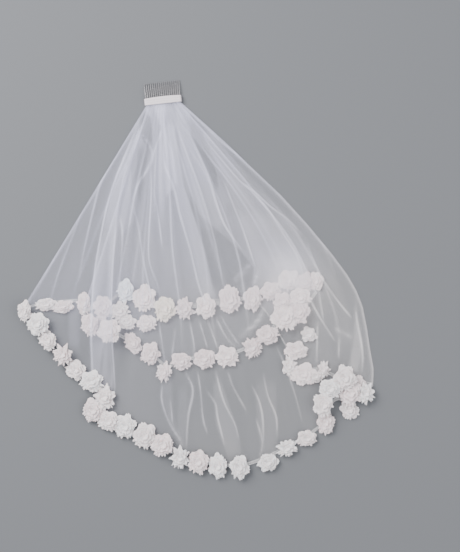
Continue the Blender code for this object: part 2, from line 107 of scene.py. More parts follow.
# Steps round the binding and at each of its corners, its way round in metres, and the wrinkles of its ribbon:
# height in millimetres, waves across and along, and the level over which they show
BINDING_AROUND = 96
BINDING_CORNER_STEPS = 8
BINDING_GIRTH = 0.176
RIBBON_WRINKLE = 0.12
RIBBON_ACROSS = 0.55
RIBBON_ALONG = 9.0
RIBBON_LEVEL = 5.0
# Rows of the binding from its lower edge up to the teeth: place along its depth (-0.5 to 0.5), how much of the
# wall is taken off, and the swell of the ribbon's turns in millimetres
BINDING_ROWS = (
    Turn(-0.36, 1.0, 0.0),
    Turn(-0.49, 1.0, 0.0),
    Turn(-0.50, 0.4, 0.0),
    Turn(-0.48, 0.0, 0.0),
    Turn(-0.38, 0.0, 0.25),
    Turn(-0.27, 0.0, 0.20),
    Turn(-0.22, 0.0, -0.12),
    Turn(-0.20, 0.0, 0.28),
    Turn(-0.08, 0.0, 0.36),
    Turn(0.03, 0.0, 0.24),
    Turn(0.08, 0.0, -0.08),
    Turn(0.10, 0.0, 0.32),
    Turn(0.24, 0.0, 0.40),
    Turn(0.40, 0.0, 0.22),
    Turn(0.485, 0.0, 0.0),
    Turn(0.50, 0.4, 0.0),
    Turn(0.49, 1.0, 0.0),
    Turn(0.30, 1.0, 0.0),
)

# How the comb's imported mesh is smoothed, in metres and radians, and how near the net's two edges are when joined
COMB_MERGE = 1e-6
COMB_BEVEL = 0.0002
COMB_FLAT_ANGLE = math.radians(1.0)
COMB_SHARP_ANGLE = math.radians(40)
SEAM_REACH = 1e-7

# Where the gathers start and end inside the binding, in millimetres from the comb's middle, and their rows
GATHER_START = -0.6
GATHER_END = -BINDING_DEPTH / 2 - 1.6
GATHER_ROWS = 3

# Hems as they lie, from the left fold to the right fold: x, y
LONG_BACK_HEM = (
    (-362, -63), (-331, -97), (-278, -158), (-224, -212), (-208, -262), (-175, -302),
    (-104, -330), (-35, -374), (45, -391), (110, -390), (190, -355), (258, -312),
    (290, -256), (326, -258), (368, -226),
)
LONG_FRONT_HEM = (
    (-362, -63), (-314, -53), (-238, -50), (-186, -78), (-104, -93), (-14, -60), (91, -44),
    (138, -62), (166, -104), (190, -146), (216, -190), (262, -194), (303, -212), (368, -226),
)
SHORT_BACK_HEM = (
    (-236, -69), (-222, -97), (-180, -110), (-138, -134), (-96, -158), (-62, -186), (-33, -174),
    (16, -166), (64, -162), (114, -143), (148, -118), (184, -80), (224, -63), (252, -30),
)
SHORT_FRONT_HEM = (
    (-236, -69), (-194, -57), (-148, -27), (-108, -38), (-66, -61), (20, -58), (117, -40),
    (154, -19), (192, -2), (228, -4), (252, -30),
)

# Tiers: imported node, half of the gathered width, how far the right side bows out, and rows of the grid
LONG_TIER = Tier("long_tier", 34.5, 87.0, 112)
SHORT_TIER = Tier("short_tier", 31.0, 22.0, 84)
# The bow of the right side: places from the gathers to the hem, and the share of the bow at each
BOW_PLACES = (0.00, 0.16, 0.39, 0.50, 0.61, 0.69, 0.74, 0.79, 0.85, 0.90, 0.96, 1.00)
BOW_SHARES = (0.00, 0.33, 0.75, 0.88, 0.97, 1.00, 0.97, 0.88, 0.67, 0.47, 0.25, 0.00)
BOW_SPREAD = 4
FOLD_REACH = 2.3
FOLD_STEPS = 3
CURVE_STEPS = 24

# Creases pressed into the top layer, each a line across it: width, height and the plies of net that lie
# together along it, then the places that it runs through, from the comb towards the hem
LONG_CREASES = (
    Crease(4.0, 4.0, 2.2, ((-119, 330), (-170, 206), (-192, 130), (-209, 31), (-215, -42), (-219, -254))),
    Crease(3.6, 3.0, 1.7, ((-147, 239), (-164, 145), (-170, 88), (-175, -42), (-171, -254))),
    Crease(4.4, 2.6, 1.2, ((-131, 320), (-195, 212), (-215, 149), (-241, 31), (-245, -8))),
    Crease(4.4, 2.0, 0.8, ((-128, 330), (-214, 196), (-262, 84), (-290, 8), (-308, -62))),
    Crease(5.0, 1.6, 0.6, ((-150, 300), (-240, 150), (-300, 40), (-336, -30))),
    Crease(3.8, 2.6, 1.2, ((-161, 139), (-153, 92), (-156, 31), (-163, -42))),
    Crease(3.8, 3.0, 1.3, ((-133, 157), (-122, 115), (-111, 46), (-96, -25), (-88, -70))),
    Crease(5.0, 2.6, 1.5, ((-119, 313), (-91, 256), (-125, 189), (-140, 120))),
    Crease(3.4, 2.0, 1.5, ((-71, 315), (-91, 256))),
    Crease(3.6, 2.4, 1.2, ((-89, 189), (-80, 135), (-70, 60))),
    Crease(3.6, 3.4, 1.5, ((-96, 250), (-94, 183), (-99, 50), (-80, -10), (-75, -42))),
    Crease(4.2, 4.0, 1.8, ((-70, 290), (-66, 239), (-46, 189), (-33, 130), (-12, 59), (9, -25), (30, -70))),
    Crease(4.6, 4.4, 1.7, ((-36, 330), (-12, 298), (3, 265), (26, 212), (43, 155), (59, 113), (85, 74),
           (107, 48))),
    Crease(4.0, 2.8, 1.2, ((-46, 330), (-20, 262), (10, 180), (36, 90), (52, 10), (62, -40))),
    Crease(3.8, 3.2, 1.5, ((57, 206), (77, 155), (99, 99), (116, 46), (124, 20))),
    Crease(3.6, 3.0, 1.4, ((20, 288), (90, 206), (121, 183), (154, 152), (194, 122), (226, 88))),
    Crease(3.6, 3.0, 1.3, ((99, 200), (150, 144), (183, 92), (211, 46), (224, 0))),
    Crease(3.8, 2.6, 1.2, ((231, 76), (248, 31), (259, 12))),
    Crease(4.4, 2.6, 1.0, ((-16, 352), (60, 280), (150, 214), (216, 150), (262, 80), (290, 10))),
    Crease(7.0, 1.6, 0.9, ((77, -5), (97, 14), (116, 31))),
    Crease(6.5, 1.6, 0.9, ((116, -19), (125, 4), (132, 23))),
    Crease(3.4, 2.2, 1.0, ((-77, -90), (-64, -181))),
    Crease(3.4, 2.2, 0.9, ((-43, -103), (-51, -166))),
    Crease(3.4, 2.4, 1.2, ((-14, -84), (-4, -141), (-8, -170))),
    Crease(3.4, 2.4, 1.2, ((7, -88), (24, -145))),
    Crease(3.4, 2.2, 1.0, ((24, -84), (37, -122), (47, -149))),
    Crease(3.4, 2.4, 1.2, ((41, -80), (62, -120), (83, -143))),
    Crease(3.4, 2.0, 0.9, ((51, -76), (70, -109), (91, -139))),
    Crease(7.5, 2.4, 1.0, ((144, -52), (127, -88), (89, -122))),
    Crease(4.0, 3.2, 1.3, ((-70, -218), (-72, -252), (-58, -298), (-30, -344))),
    Crease(3.6, 2.4, 0.9, ((-54, -254), (-50, -302))),
    Crease(4.0, 3.4, 1.5, ((-24, -191), (-7, -231), (-17, -288), (-22, -359))),
    Crease(3.6, 2.6, 1.2, ((3, -191), (9, -235), (14, -292), (23, -325))),
    Crease(4.0, 3.0, 1.4, ((20, -231), (40, -261), (45, -292), (60, -352))),
    Crease(4.0, 3.0, 1.4, ((40, -191), (57, -254), (80, -302), (90, -338))),
    Crease(3.6, 2.4, 1.0, ((66, -191), (77, -225), (106, -278))),
    Crease(4.0, 3.0, 1.4, ((114, -220), (130, -252), (139, -292), (140, -351))),
    Crease(3.6, 2.2, 1.0, ((125, -292), (138, -342), (130, -382))),
    Crease(4.0, 2.8, 1.2, ((140, -197), (150, -245), (167, -288), (169, -332))),
    Crease(3.6, 2.2, 0.9, ((166, -139), (183, -175), (206, -240), (222, -300))),
    Crease(4.0, 3.4, 1.7, ((254, 20), (270, -10), (299, -50), (327, -84))),
    Crease(4.2, 3.4, 1.7, ((333, -59), (337, -88), (348, -155), (345, -202))),
    Crease(4.0, 3.4, 1.7, ((236, -40), (255, -76), (291, -132))),
    Crease(3.6, 2.4, 1.2, ((252, 30), (257, -36), (266, -92))),
    Crease(3.8, 2.8, 1.3, ((253, -84), (251, -181))),
    Crease(7.0, 1.8, 0.8, ((287, -101), (308, -113), (328, -124))),
    Crease(4.0, 2.6, 1.4, ((299, -120), (297, -168))),
)
# Panels of the top layer where more plies lie together: the plies that each adds, the plies along its
# edges, how soft its edges are, and the places that its left and right edges run through
LONG_PANELS = (
    Panel(2.6, 1.6, 2.0,
          ((-119, 319), (-167, 218), (-188, 134), (-209, 29), (-217, -34), (-219, -107), (-219, -195),
           (-213, -262)),
          ((-112, 319), (-146, 218), (-163, 126), (-171, 50), (-177, -34), (-177, -107), (-175, -195),
           (-177, -262))),
    Panel(1.5, 0.5, 5.0, ((-150, 227), (-163, 118), (-156, 92)), ((-133, 227), (-133, 118), (-150, 92))),
    Panel(2.0, 0.5, 5.0,
          ((-91, 361), (-75, 315), (-87, 271), (-91, 218), (-91, 185)),
          ((-62, 361), (-64, 315), (-45, 260), (-39, 200), (-62, 170)), fade=110.0),
    Panel(1.5, 1.5, 3.0,
          ((-68, 315), (-58, 227), (-33, 126), (-3, 38), (14, -38)),
          ((-45, 302), (-28, 197), (-3, 126), (22, 38), (39, -34))),
    Panel(0.9, 0.2, 4.0,
          ((-45, 350), (-28, 218), (-3, 140), (0, 112)),
          ((-12, 320), (20, 231), (39, 172), (56, 118))),
    Panel(1.3, 0.5, 3.5,
          ((12, 300), (56, 214), (81, 151), (106, 84), (123, 29)),
          ((39, 302), (119, 197), (165, 155), (207, 113), (249, 29))),
    Panel(0.8, 0.6, 4.0, ((-264, -44), (-266, -90), (-264, -139)), ((-244, -44), (-240, -90), (-243, -139))),
    Panel(0.7, 0.4, 4.0,
          ((-70, -200), (-72, -250), (-56, -306), (-28, -353)),
          ((-51, -200), (-50, -250), (-46, -296), (-24, -353))),
    Panel(0.6, 0.0, 9.0, ((-42, -235), (-44, -296), (-38, -359)), ((-14, -235), (-18, -296), (-22, -359))),
    Panel(1.0, 1.0, 4.0, ((37, -240), (43, -307), (66, -370)), ((54, -223), (75, -286), (91, -349))),
    Panel(0.7, 0.7, 5.0, ((127, -275), (129, -317), (140, -370)), ((165, -223), (167, -296), (169, -349))),
    Panel(2.2, 1.0, 4.0,
          ((333, -55), (327, -139), (312, -223)),
          ((335, -55), (350, -139), (339, -195), (324, -223))),
    Panel(0.5, 0.5, 5.0, ((252, -10), (262, -76), (291, -132)), ((290, 10), (318, -60), (330, -120))),
)
# Pockets between the folds, where every layer lies open: the share of the plies that is missing, how soft the
# edges are, and the places that the left and right edges run through
POCKETS = (
    Pocket(0.50, 5.0,
           ((-116, 351), (-123, 334), (-121, 302), (-104, 271)),
           ((-104, 351), (-93, 338), (-90, 313), (-88, 271))),
    Pocket(0.38, 8.0, ((-127, 271), (-131, 208), (-123, 160)), ((-95, 260), (-104, 218), (-112, 160))),
    Pocket(0.55, 3.0,
           ((-14, 298), (7, 260), (24, 225), (36, 196)),
           ((-6, 298), (20, 266), (42, 230), (48, 196))),
    Pocket(0.42, 4.0, ((-14, 151), (16, 61), (30, -13)), ((-7, 176), (9, 134), (58, 92), (93, 61), (121, 25))),
    Pocket(0.25, 8.0, ((-205, 60), (-214, -40)), ((-178, 110), (-180, -40))),
    Pocket(0.24, 8.0,
           ((-42, 366), (-28, 330), (-6, 286), (26, 236), (62, 172)),
           ((-26, 366), (22, 318), (92, 250), (160, 192), (204, 140))),
    Pocket(0.40, 9.0, ((165, -100), (170, -160)), ((218, -100), (204, -160))),
)
# Where the layers are bunched together on the right: middle, how far it reaches, and the plies that the top layer
# and each layer under it gain
BUNCHED = {"x": 202.0, "y": -14.0, "across": 50.0, "along": 64.0, "top": 3.2, "under": 5.0}
SHORT_CREASES = (
    Crease(4.0, 0.9, 1.0, ((-100, 300), (-128, 180), (-150, 60), (-170, -40), (-180, -90))),
    Crease(4.4, 0.8, 0.8, ((-90, 300), (-100, 180), (-110, 60), (-112, -40), (-116, -130))),
    Crease(4.4, 0.9, 1.1, ((-66, 310), (-56, 180), (-50, 60), (-34, -60), (-30, -150))),
    Crease(4.0, 0.8, 0.8, ((-48, 300), (-10, 180), (14, 60), (30, -60), (42, -140))),
    Crease(4.6, 0.9, 1.0, ((-30, 300), (40, 180), (84, 60), (100, -30), (112, -120))),
    Crease(4.0, 0.8, 0.9, ((-10, 300), (70, 200), (134, 100), (170, 20), (190, -50))),
)
FRONT_CREASES = (
    Crease(5.0, 0.6, 0.8, ((-120, 300), (-190, 150), (-240, 20), (-262, -40))),
    Crease(5.0, 0.6, 0.7, ((-90, 300), (-110, 150), (-130, 20), (-140, -70))),
    Crease(5.0, 0.6, 0.7, ((-40, 300), (10, 150), (50, 20), (70, -30))),
    Crease(5.0, 0.6, 0.8, ((20, 280), (130, 130), (200, 0), (230, -120))),
    Crease(5.0, 0.6, 0.7, ((60, 270), (200, 110), (280, -40), (310, -170))),
)

# The layers from the floor up: name, tier, hem, columns, whether the heights are read from above, creases, panels
LAYER_ORDER = (
    Layer("long_front", LONG_TIER, LONG_FRONT_HEM, 220, False, FRONT_CREASES, ()),
    Layer("short_front", SHORT_TIER, SHORT_FRONT_HEM, 180, False, (), ()),
    Layer("short_back", SHORT_TIER, SHORT_BACK_HEM, 280, True, SHORT_CREASES, ()),
    Layer("long_back", LONG_TIER, LONG_BACK_HEM, 600, True, LONG_CREASES, LONG_PANELS),
)
LAYER_SEED = 7
LAYER_SEED_STEP = 100

# Plies of net drawn in towards the comb: how fast they grow, the most of them, and the least spacing and plies
GATHER_POWER = 0.46
GATHER_MOST = 15.0
LEAST_SPACING = 1e-6
LEAST_PLIES = 0.3
# Creases: plies of the core and of the halo, width of the core and of the foot as shares of the crease's, height,
# how they fade towards their ends, and how uneven they are on the way
CREASE_STRENGTH = 3.6
CREASE_HALO = 0.35
CREASE_CORE = 0.46
CREASE_FOOT = 1.2
CREASE_RISE = 0.65
CREASE_FADE = 6.0
CREASE_TAPER = 0.8
CREASE_UNEVEN = 0.32
CREASE_WAVES = 7.0
# Panels: width of their rims in millimetres, strength, and how far they go on past their ends
RIM_WIDTH = 1.9
PANEL_STRENGTH = 1.3
PANEL_END = 0.7
# Streaks that run with the gathers: how many across and along and their share, then what they do to the plies and
# to the height, and what is left of them at the hem
STREAKS = (
    {"across": 17, "along": 3, "share": 0.42},
    {"across": 46, "along": 4, "share": 0.33},
    {"across": 120, "along": 6, "share": 0.25},
)
STREAK_DENSITY = 0.7
STREAK_RELIEF = 1.5
STREAKS_AT_HEM = 0.35
# Relief of the net: share of it in the lower layers, how fast it starts at the comb and ends at the hem, what is
# left of it at the hem's edge, and how much it falls on the way
UNDER_RELIEF = 0.35
RELIEF_START = 6.0
RELIEF_END = 9.0
RELIEF_LEAST = 0.12
RELIEF_FALL = 0.45
# Plies along the side folds and the width that they take, and the light that the threads let into their shadow
EDGE_PLIES = 2.4
EDGE_WIDTH = 3.0
THREAD_GLOW = 0.6
# Draping: rounds of smoothing before and over what lies below, gap over it, height over the floor, how far the
# hem's rays start inside it, and the weight of a place and of each neighbour when heights are smoothed
SETTLE_STEPS = 26
DRAPE_STEPS = 20
LAYER_CLEARANCE = 0.5
FLOOR_LEVEL = 0.7
HEM_INSET = 0.03
BLUR = 0.2
# How flowers sit: how a layer is pinned to them, and how much of the net a spare one rests on
PIN_START = 1.6
PIN_FALL = 1.25
SEAT_SHARE = 0.7
SEAT_MARGIN = 4.0

# Height map of what already lies on the floor
CELL = 2.0
MAP_LEFT = -430.0
MAP_LOW = -460.0
MAP_SIDE = 920.0
# A flower in the height map: rings and places round, and its height from the middle to the rim
DOME_RINGS = 14
DOME_AROUND = 56
DOME_PLACES = (0.0, 0.45, 0.75, 1.0)
DOME_HEIGHTS = (1.0, 0.92, 0.66, 0.42)

# Tape: width, strips across it, height and pace of its ruffles, and its closeness in the middle and at the edges
TAPE_WIDTH = 6.5
TAPE_STRIPS = 6
TAPE_ROW_END = 1.001
TAPE_RUFFLE = 0.25
TAPE_PACE = 0.9
TAPE_COVER = 0.30
TAPE_EDGE_COVER = 0.32

# Every packed flower as it lies, in its row's order: half length, half width, turn of its length in degrees
FLOWER_SHAPES = {
    "long_back": (
        (23, 15, 90), (26, 24, 60), (23, 19, -65), (25, 20, 90), (25, 20, -48), (26, 23, 0), (29, 25, 90),
        (26, 23, -70), (27, 22, -30), (26, 24, 90), (27, 25, 60), (26, 24, 60), (25, 20, 90), (28, 23, 90),
        (27, 21, 90), (26, 21, 90), (23, 20, 25), (24, 19, 20), (24, 17, 10), (25, 20, 90), (27, 22, 90),
        (26, 22, 20), (28, 25, 90), (27, 25, 60), (22, 20, -60), (23, 20, 90),
    ),
    "long_front": ((25, 15, 0), (23, 15, 10), (18, 17, 0), (25, 19, 0), (19, 14, 90)),
    "short_back": (
        (25, 19, 90), (26, 25, 0), (24, 18, -60), (24, 21, 70), (22, 18, 90), (23, 19, 0), (24, 22, 0),
        (26, 24, 0), (24, 21, 90), (25, 23, 0), (31, 29, 90),
    ),
    "short_front": (
        (25, 21, 90), (25, 19, 90), (31, 28, 90), (28, 24, 90), (26, 20, 90), (27, 24, 90), (31, 24, 90),
        (27, 21, 90), (25, 23, 0),
    ),
}
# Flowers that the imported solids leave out, sewn between the others
SPARE_FLOWERS = (
    {"row": "long_front", "x": -104, "y": -92, "shape": (23, 19, 20)},
    {"row": "long_front", "x": -145, "y": -90, "shape": (20, 16, 0)},
    {"row": "long_front", "x": -200, "y": -93, "shape": (19, 17, 90)},
    {"row": "long_front", "x": -161, "y": -66, "shape": (23, 22, 0)},
    {"row": "long_front", "x": -236, "y": -50, "shape": (25, 16, 90)},
    {"row": "long_front", "x": 194, "y": -182, "shape": (23, 17, 90)},
    {"row": "long_front", "x": 224, "y": -199, "shape": (29, 24, -10)},
    {"row": "long_front", "x": 250, "y": -204, "shape": (17, 13, 0)},
    {"row": "long_front", "x": 336, "y": -218, "shape": (20, 18, 0)},
    {"row": "short_front", "x": 154, "y": -24, "shape": (23, 21, 0)},
    {"row": "short_front", "x": 226, "y": -7, "shape": (24, 22, 0)},
    {"row": "short_front", "x": 250, "y": -4, "shape": (22, 17, 90)},
    {"row": "short_back", "x": 180, "y": -46, "shape": (23, 20, 0)},
    {"row": "short_back", "x": 214, "y": -66, "shape": (30, 23, 90)},
    {"row": "short_back", "x": 216, "y": -38, "shape": (25, 22, 0)},
)
SPARE_HEIGHT = 8.0
# Flowers of narrow pointed petals, by row and place in it; every other one has round petals
POINTED_FLOWERS = {
    "long_back": (4, 7, 13, 18, 26), "long_front": (5, 9, 11), "short_back": (5, 9), "short_front": (5,),
}
# Rings of petals of one flower: how many, reach and half width as shares of the flower's half length, height at
# the middle and at the tips as shares of its height, how pointed, and how far round the ring the petals go
ROUND_RINGS = (
    Ring(6, 1.00, 0.50, 0.04, 0.28, 0.0, 1.0),
    Ring(5, 0.86, 0.46, 0.18, 0.50, 0.0, 1.0),
    Ring(7, 1.03, 0.21, 0.22, 0.34, 0.3, 0.44),
    Ring(5, 0.62, 0.42, 0.40, 0.76, 0.1, 1.0),
    Ring(4, 0.34, 0.26, 0.64, 0.97, 0.3, 1.0),
)
POINTED_RINGS = (
    Ring(7, 1.04, 0.30, 0.04, 0.26, 0.42, 1.0),
    Ring(6, 0.88, 0.36, 0.20, 0.48, 0.3, 1.0),
    Ring(6, 1.05, 0.17, 0.22, 0.32, 0.5, 0.4),
    Ring(5, 0.60, 0.38, 0.38, 0.74, 0.2, 1.0),
    Ring(4, 0.32, 0.24, 0.64, 0.97, 0.3, 1.0),
)
# A petal: steps across and along, then its cup, ruffle, frayed edge, outline from root to tip, and curl
PETAL_ACROSS = 8
PETAL_ALONG = 6
PETAL_CUP = 0.16
PETAL_RUFFLE = 0.07
PETAL_FRAY = 0.045
PETAL_ROOT = 0.07
PETAL_BELLY = 0.62
PETAL_ROUND = 0.46
PETAL_LEAST = 0.04
PETAL_PACE = 5.2
PETAL_CURL = -0.10
PETAL_LOWEST = 0.02
PETAL_CLOTH = 0.3
# Powers that set how fast a petal's outline, corners, frayed edge and curl change towards its tip or its sides
BELLY_POWER = 0.9
POINT_POWER = 1.5
SIDE_POWER = 2.6
TIP_POWER = 2.5
FRAY_POWER = 9
CURL_POWER = 6
# How the petals of a flower differ: change of length and width, bend, fray, and swing of a petal and of a ring
PETAL_LONGER = (-0.13, 0.09)
PETAL_WIDER = (-0.16, 0.20)
PETAL_BEND = (0.8, 1.5)
PETAL_FRAYING = (0.3, 1.5)
PETAL_SWING = 0.22
RING_SWING = 0.2
PALEST = (0.95, 1.0)
# Seed of the first flower, the turn from one flower or crease to the next, and the rows that show the way out
FLOWER_SEED = 4000
GOLDEN_TURN = 2.39996
HEM_ROWS = 8
# Tints of the chiffon, from near white to blush, and which of them each row's flowers take in turn
WHITE = (0.935, 0.900, 0.903)
WARM_WHITE = (0.938, 0.862, 0.860)
BLUSH = (0.925, 0.812, 0.815)
DUSKY = (0.862, 0.745, 0.757)
ROW_TINTS = {
    "long_back": (BLUSH, WARM_WHITE, WHITE, WARM_WHITE),
    "long_front": (BLUSH, WARM_WHITE),
    "short_back": (DUSKY, BLUSH, DUSKY),
    "short_front": (DUSKY, DUSKY, BLUSH),
}
# Flowers whose colour stands out, by name
NAMED_TINTS = {
    "chiffon_short_front_02": (0.88, 0.905, 0.97),
    "chiffon_short_front_04": (0.92, 0.83, 0.74),
    "chiffon_long_back_12": BLUSH,
    "chiffon_long_back_13": WHITE,
    "chiffon_long_back_14": BLUSH,
    "chiffon_long_back_15": WHITE,
    "chiffon_long_back_16": WHITE,
    "chiffon_long_back_17": WHITE,
    "chiffon_long_back_18": WHITE,
}

# Cut of each tier that shows, in metres: all round the hem, and from the gathers to the hem
CUT_SIZES = {"long": (2.10, 0.80), "short": (1.15, 0.62)}

# Net: how uneven and wide its holes are, and how its colour warms from the comb down and to the right. Then the
# tape's holes to the metre, the petals' weave and pleats, the painted shade towards the middle of each flower, the
# ribbon's long floats and the painted shade in its creases, and tints
NET_UNEVEN = 0.25
NET_HOLE = 5.0
WARM_RIGHTWARD = 1.5
WARM_DOWNWARD = 1.5
WARM_START = 0.15
TAPE_HOLES = 900.0
TAPE_WARM = (0.92, 0.885, 0.875, 1.0)
PETAL_THREADS = 26.0
PETAL_PLEATS = 44.0
PLEAT_REACH = 1.15
# Painted shade towards the middle of each flower: how far it reaches along a petal, how strong it is, and its
# colour
PAINTED_SHADE_REACH = 1.7
PAINTED_SHADE_DEPTH = 0.34
PAINTED_SHADE_TINT = (0.80, 0.715, 0.71, 1.0)
SATIN_FLOATS = (60.0, 1600.0, 1.0)
# Painted shade in the ribbon's small creases: how strong it is, and its colour
RIBBON_SHADE_DEPTH = 0.5
RIBBON_SHADE_TINT = (0.70, 0.62, 0.65, 1.0)
COMB_PALE = (0.55, 0.52, 0.53, 1.0)

# Camera and stage, in metres
VIEW_MIDDLE = (0.0704, 0.0063)
VIEW_HEIGHT = 1.159
CAMERA_HEIGHT = 2.4
SENSOR = 36.0
FLOOR_HALF = 6.0
KEY_PLACE = (-1.5, 1.3, 1.9)
KEY_SIZE = 1.8
FILL_PLACE = (1.9, -0.6, 2.0)
FILL_SIZE = 2.2
STUDIO_COLOUR = (0.93, 0.95, 1.0, 1.0)
STUDIO_STRENGTH = 0.85


def colour_setting(name, description, colour):
    """A colour that the user can change."""
    return bpy.props.FloatVectorProperty(
        name=name, description=description, subtype="COLOR", size=4, default=(*colour, 1.0), min=0.0, max=1.0,
    )


class VeilNetSettings(bpy.types.PropertyGroup):
    """Colour and openness of the net."""

    colour: colour_setting("Net colour", "Colour of the net's threads", (0.815, 0.810, 0.995))
    warm_colour: colour_setting(
        "Warm net colour", "Colour that the threads turn to, in soft patches, away from the comb",
        (0.955, 0.905, 0.912),
    )
    cover: bpy.props.FloatProperty(
        name="Cover", description="Share of the light that one flat ply of net stops",
        default=0.066, min=0.01, max=0.9, subtype="FACTOR",
    )
    mesh_size: bpy.props.FloatProperty(
        name="Mesh size", description="Distance between the holes of the net",
        default=0.0018, min=0.0005, max=0.01, unit="LENGTH",
    )


class VeilTrimSettings(bpy.types.PropertyGroup):
    """Colours of the flowers, tape, ribbon and comb."""

    tape: colour_setting("Tape colour", "Colour of the tape along the hems", (0.88, 0.86, 0.87))
    ribbon: colour_setting("Ribbon colour", "Colour of the satin ribbon round the comb", (0.80, 0.735, 0.765))
    comb: colour_setting("Comb colour", "Tint of the comb's clear plastic", (0.40, 0.385, 0.395))


class VeilStageSettings(bpy.types.PropertyGroup):
    """Floor and light."""

    floor: colour_setting("Floor colour", "Colour of the floor", (0.165, 0.17, 0.18))
    key: bpy.props.FloatProperty(
        name="Key light", description="Strength of the soft light from the upper left",
        default=125.0, min=0.0, unit="POWER",
    )
    fill: bpy.props.FloatProperty(
        name="Fill light", description="Strength of the wide light from the right",
        default=34.0, min=0.0, unit="POWER",
    )


def from_comb(across, along):
    """A plan point given in the comb's own frame: across its bar, and along its teeth."""
    cosine = math.cos(COMB_TURN)
    sine = math.sin(COMB_TURN)
    return (COMB_X + across * cosine - along * sine, COMB_Y + across * sine + along * cosine)


def distance_walked(points):
    """How far along a line of points each of them is."""
    return np.concatenate([[0.0], np.cumsum(np.hypot(*np.diff(points, axis=0).T))])


def evenly_spaced(points, count):
    """count + 1 points at even distances along a line of points."""
    walked = distance_walked(points)
    wanted = np.linspace(0.0, walked[-1], count + 1)
    return np.stack([np.interp(wanted, walked, points[:, axis]) for axis in (0, 1)], axis=1)


def smooth_curve(points, count):
    """count + 1 points at even distances along a smooth curve through the given ones."""
    knots = np.array(points, float)
    ends = np.vstack([2 * knots[0] - knots[1], knots, 2 * knots[-1] - knots[-2]])
    steps = np.linspace(0.0, 1.0, CURVE_STEPS, endpoint=False)[:, None]
    pieces = []
    for before, start, finish, after in zip(ends[:-3], ends[1:-2], ends[2:-1], ends[3:]):
        rise = (finish - before) * steps
        bend = (2 * before - 5 * start + 4 * finish - after) * steps**2
        twist = (3 * start - before - 3 * finish + after) * steps**3
        pieces.append(0.5 * (2 * start + rise + bend + twist))
    return evenly_spaced(np.vstack(pieces + [knots[-1:]]), count)


def lay_plan(tier, hem, columns):
    """Plan points of a layer from left to right, and its rows' reach from the gathers to the hem."""
    ends = smooth_curve(hem, columns)
    share = np.linspace(0.0, 1.0, columns + 1)
    across = tier.half_gather * (2 * share - 1)
    held = [
        [from_comb(place, along) for place in across]
        for along in np.linspace(GATHER_START, GATHER_END, GATHER_ROWS, endpoint=False)
    ]
    starts = np.array([from_comb(place, GATHER_END) for place in across])
    chords = ends - starts
    lengths = np.hypot(chords[:, 0], chords[:, 1])
    reach = np.linspace(0.0, 1.0, tier.rows)[:, None]
    outward = np.stack([-chords[:, 1], chords[:, 0]], axis=1) / lengths[:, None]
    bow = tier.bow * share**BOW_SPREAD * np.interp(reach, BOW_PLACES, BOW_SHARES)
    fan = starts + chords * reach[..., None] + outward * bow[..., None]
    plan = np.vstack([np.array(held), fan])
    reach = np.concatenate([np.zeros(GATHER_ROWS), reach[:, 0]])[:, None] + 0.0 * share
    return plan, share + 0.0 * reach, reach


def solid_tree(node):
    """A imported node's faces, ready to be hit by rays, in metres."""
    mesh = frame["nodes"][node].data
    points = [vertex.co.copy() for vertex in mesh.vertices]
    faces = [tuple(face.vertices) for face in mesh.polygons]
    return BVHTree.FromPolygons(points, faces)


def heights_on(tree, plan, from_above):
    """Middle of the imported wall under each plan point, in millimetres."""
    start = 1.0 if from_above else -1.0
    down = (0.0, 0.0, -start)
    flat = plan.reshape(-1, 2) * METRES
    found = np.full(len(flat), np.nan)
    for number, (x, y) in enumerate(flat):
        hit = tree.ray_cast((x, y, start), down)[0]
        if hit:
            found[number] = hit.z / METRES
    found = found.reshape(plan.shape[:2])
    found += -NET_WALL / 2 if from_above else NET_WALL / 2
    for row in range(found.shape[0]):
        missing = np.isnan(found[row])
        if missing.all():
            found[row] = found[row - 1]
        elif missing.any():
            places = np.arange(found.shape[1])
            found[row, missing] = np.interp(places[missing], places[~missing], found[row, ~missing])
    return found


def ramp(values):
    """Values brought between 0 and 1 with soft shoulders."""
    held = np.clip(values, 0.0, 1.0)
    return held * held * (3 - 2 * held)


def blurred(heights):
    """Each height mixed with its four neighbours."""
    around = np.pad(heights, 1, mode="edge")
    cross = around[:-2, 1:-1] + around[2:, 1:-1] + around[1:-1, :-2] + around[1:-1, 2:]
    return BLUR * heights + BLUR * cross


class LaidSoFar:
    """The highest point of what has been laid down so far, over each cell of the floor."""

    def __init__(self):
        side = int(MAP_SIDE / CELL)
        self.top = np.zeros((side, side))

    def cells(self, points):
        column = ((points[..., 0] - MAP_LEFT) / CELL).astype(int)
        row = ((points[..., 1] - MAP_LOW) / CELL).astype(int)
        return row, column

    def add(self, points, heights):
        """Raise the cells under the points, and the cells beside them."""
        row, column = self.cells(points)
        for down in (-1, 0, 1):
            for over in (-1, 0, 1):
                np.maximum.at(self.top, (row + down, column + over), heights)

    def highest(self, points):
        return self.top[self.cells(points)]


def soft_noise(across, along, share, reach, seed):
    """Smooth random values from -1 to 1 on a lattice stretched over a layer."""
    table = np.random.default_rng(seed).uniform(-1.0, 1.0, (along + 2, across + 2))
    column = np.clip(share, 0.0, 1.0) * across
    row = np.clip(reach, 0.0, 1.0) * along
    left = column.astype(int)
    low = row.astype(int)
    over = ramp(column - left)
    up = ramp(row - low)
    near = table[low, left] * (1 - over) + table[low, left + 1] * over
    far = table[low + 1, left] * (1 - over) + table[low + 1, left + 1] * over
    return near * (1 - up) + far * up


def streaks(share, reach, seed):
    """Uneven streaks that run with the gathers, from -1 to 1."""
    total = 0.0 * share
    for number, streak in enumerate(STREAKS):
        total += streak["share"] * soft_noise(streak["across"], streak["along"], share, reach, seed + number)
    return total


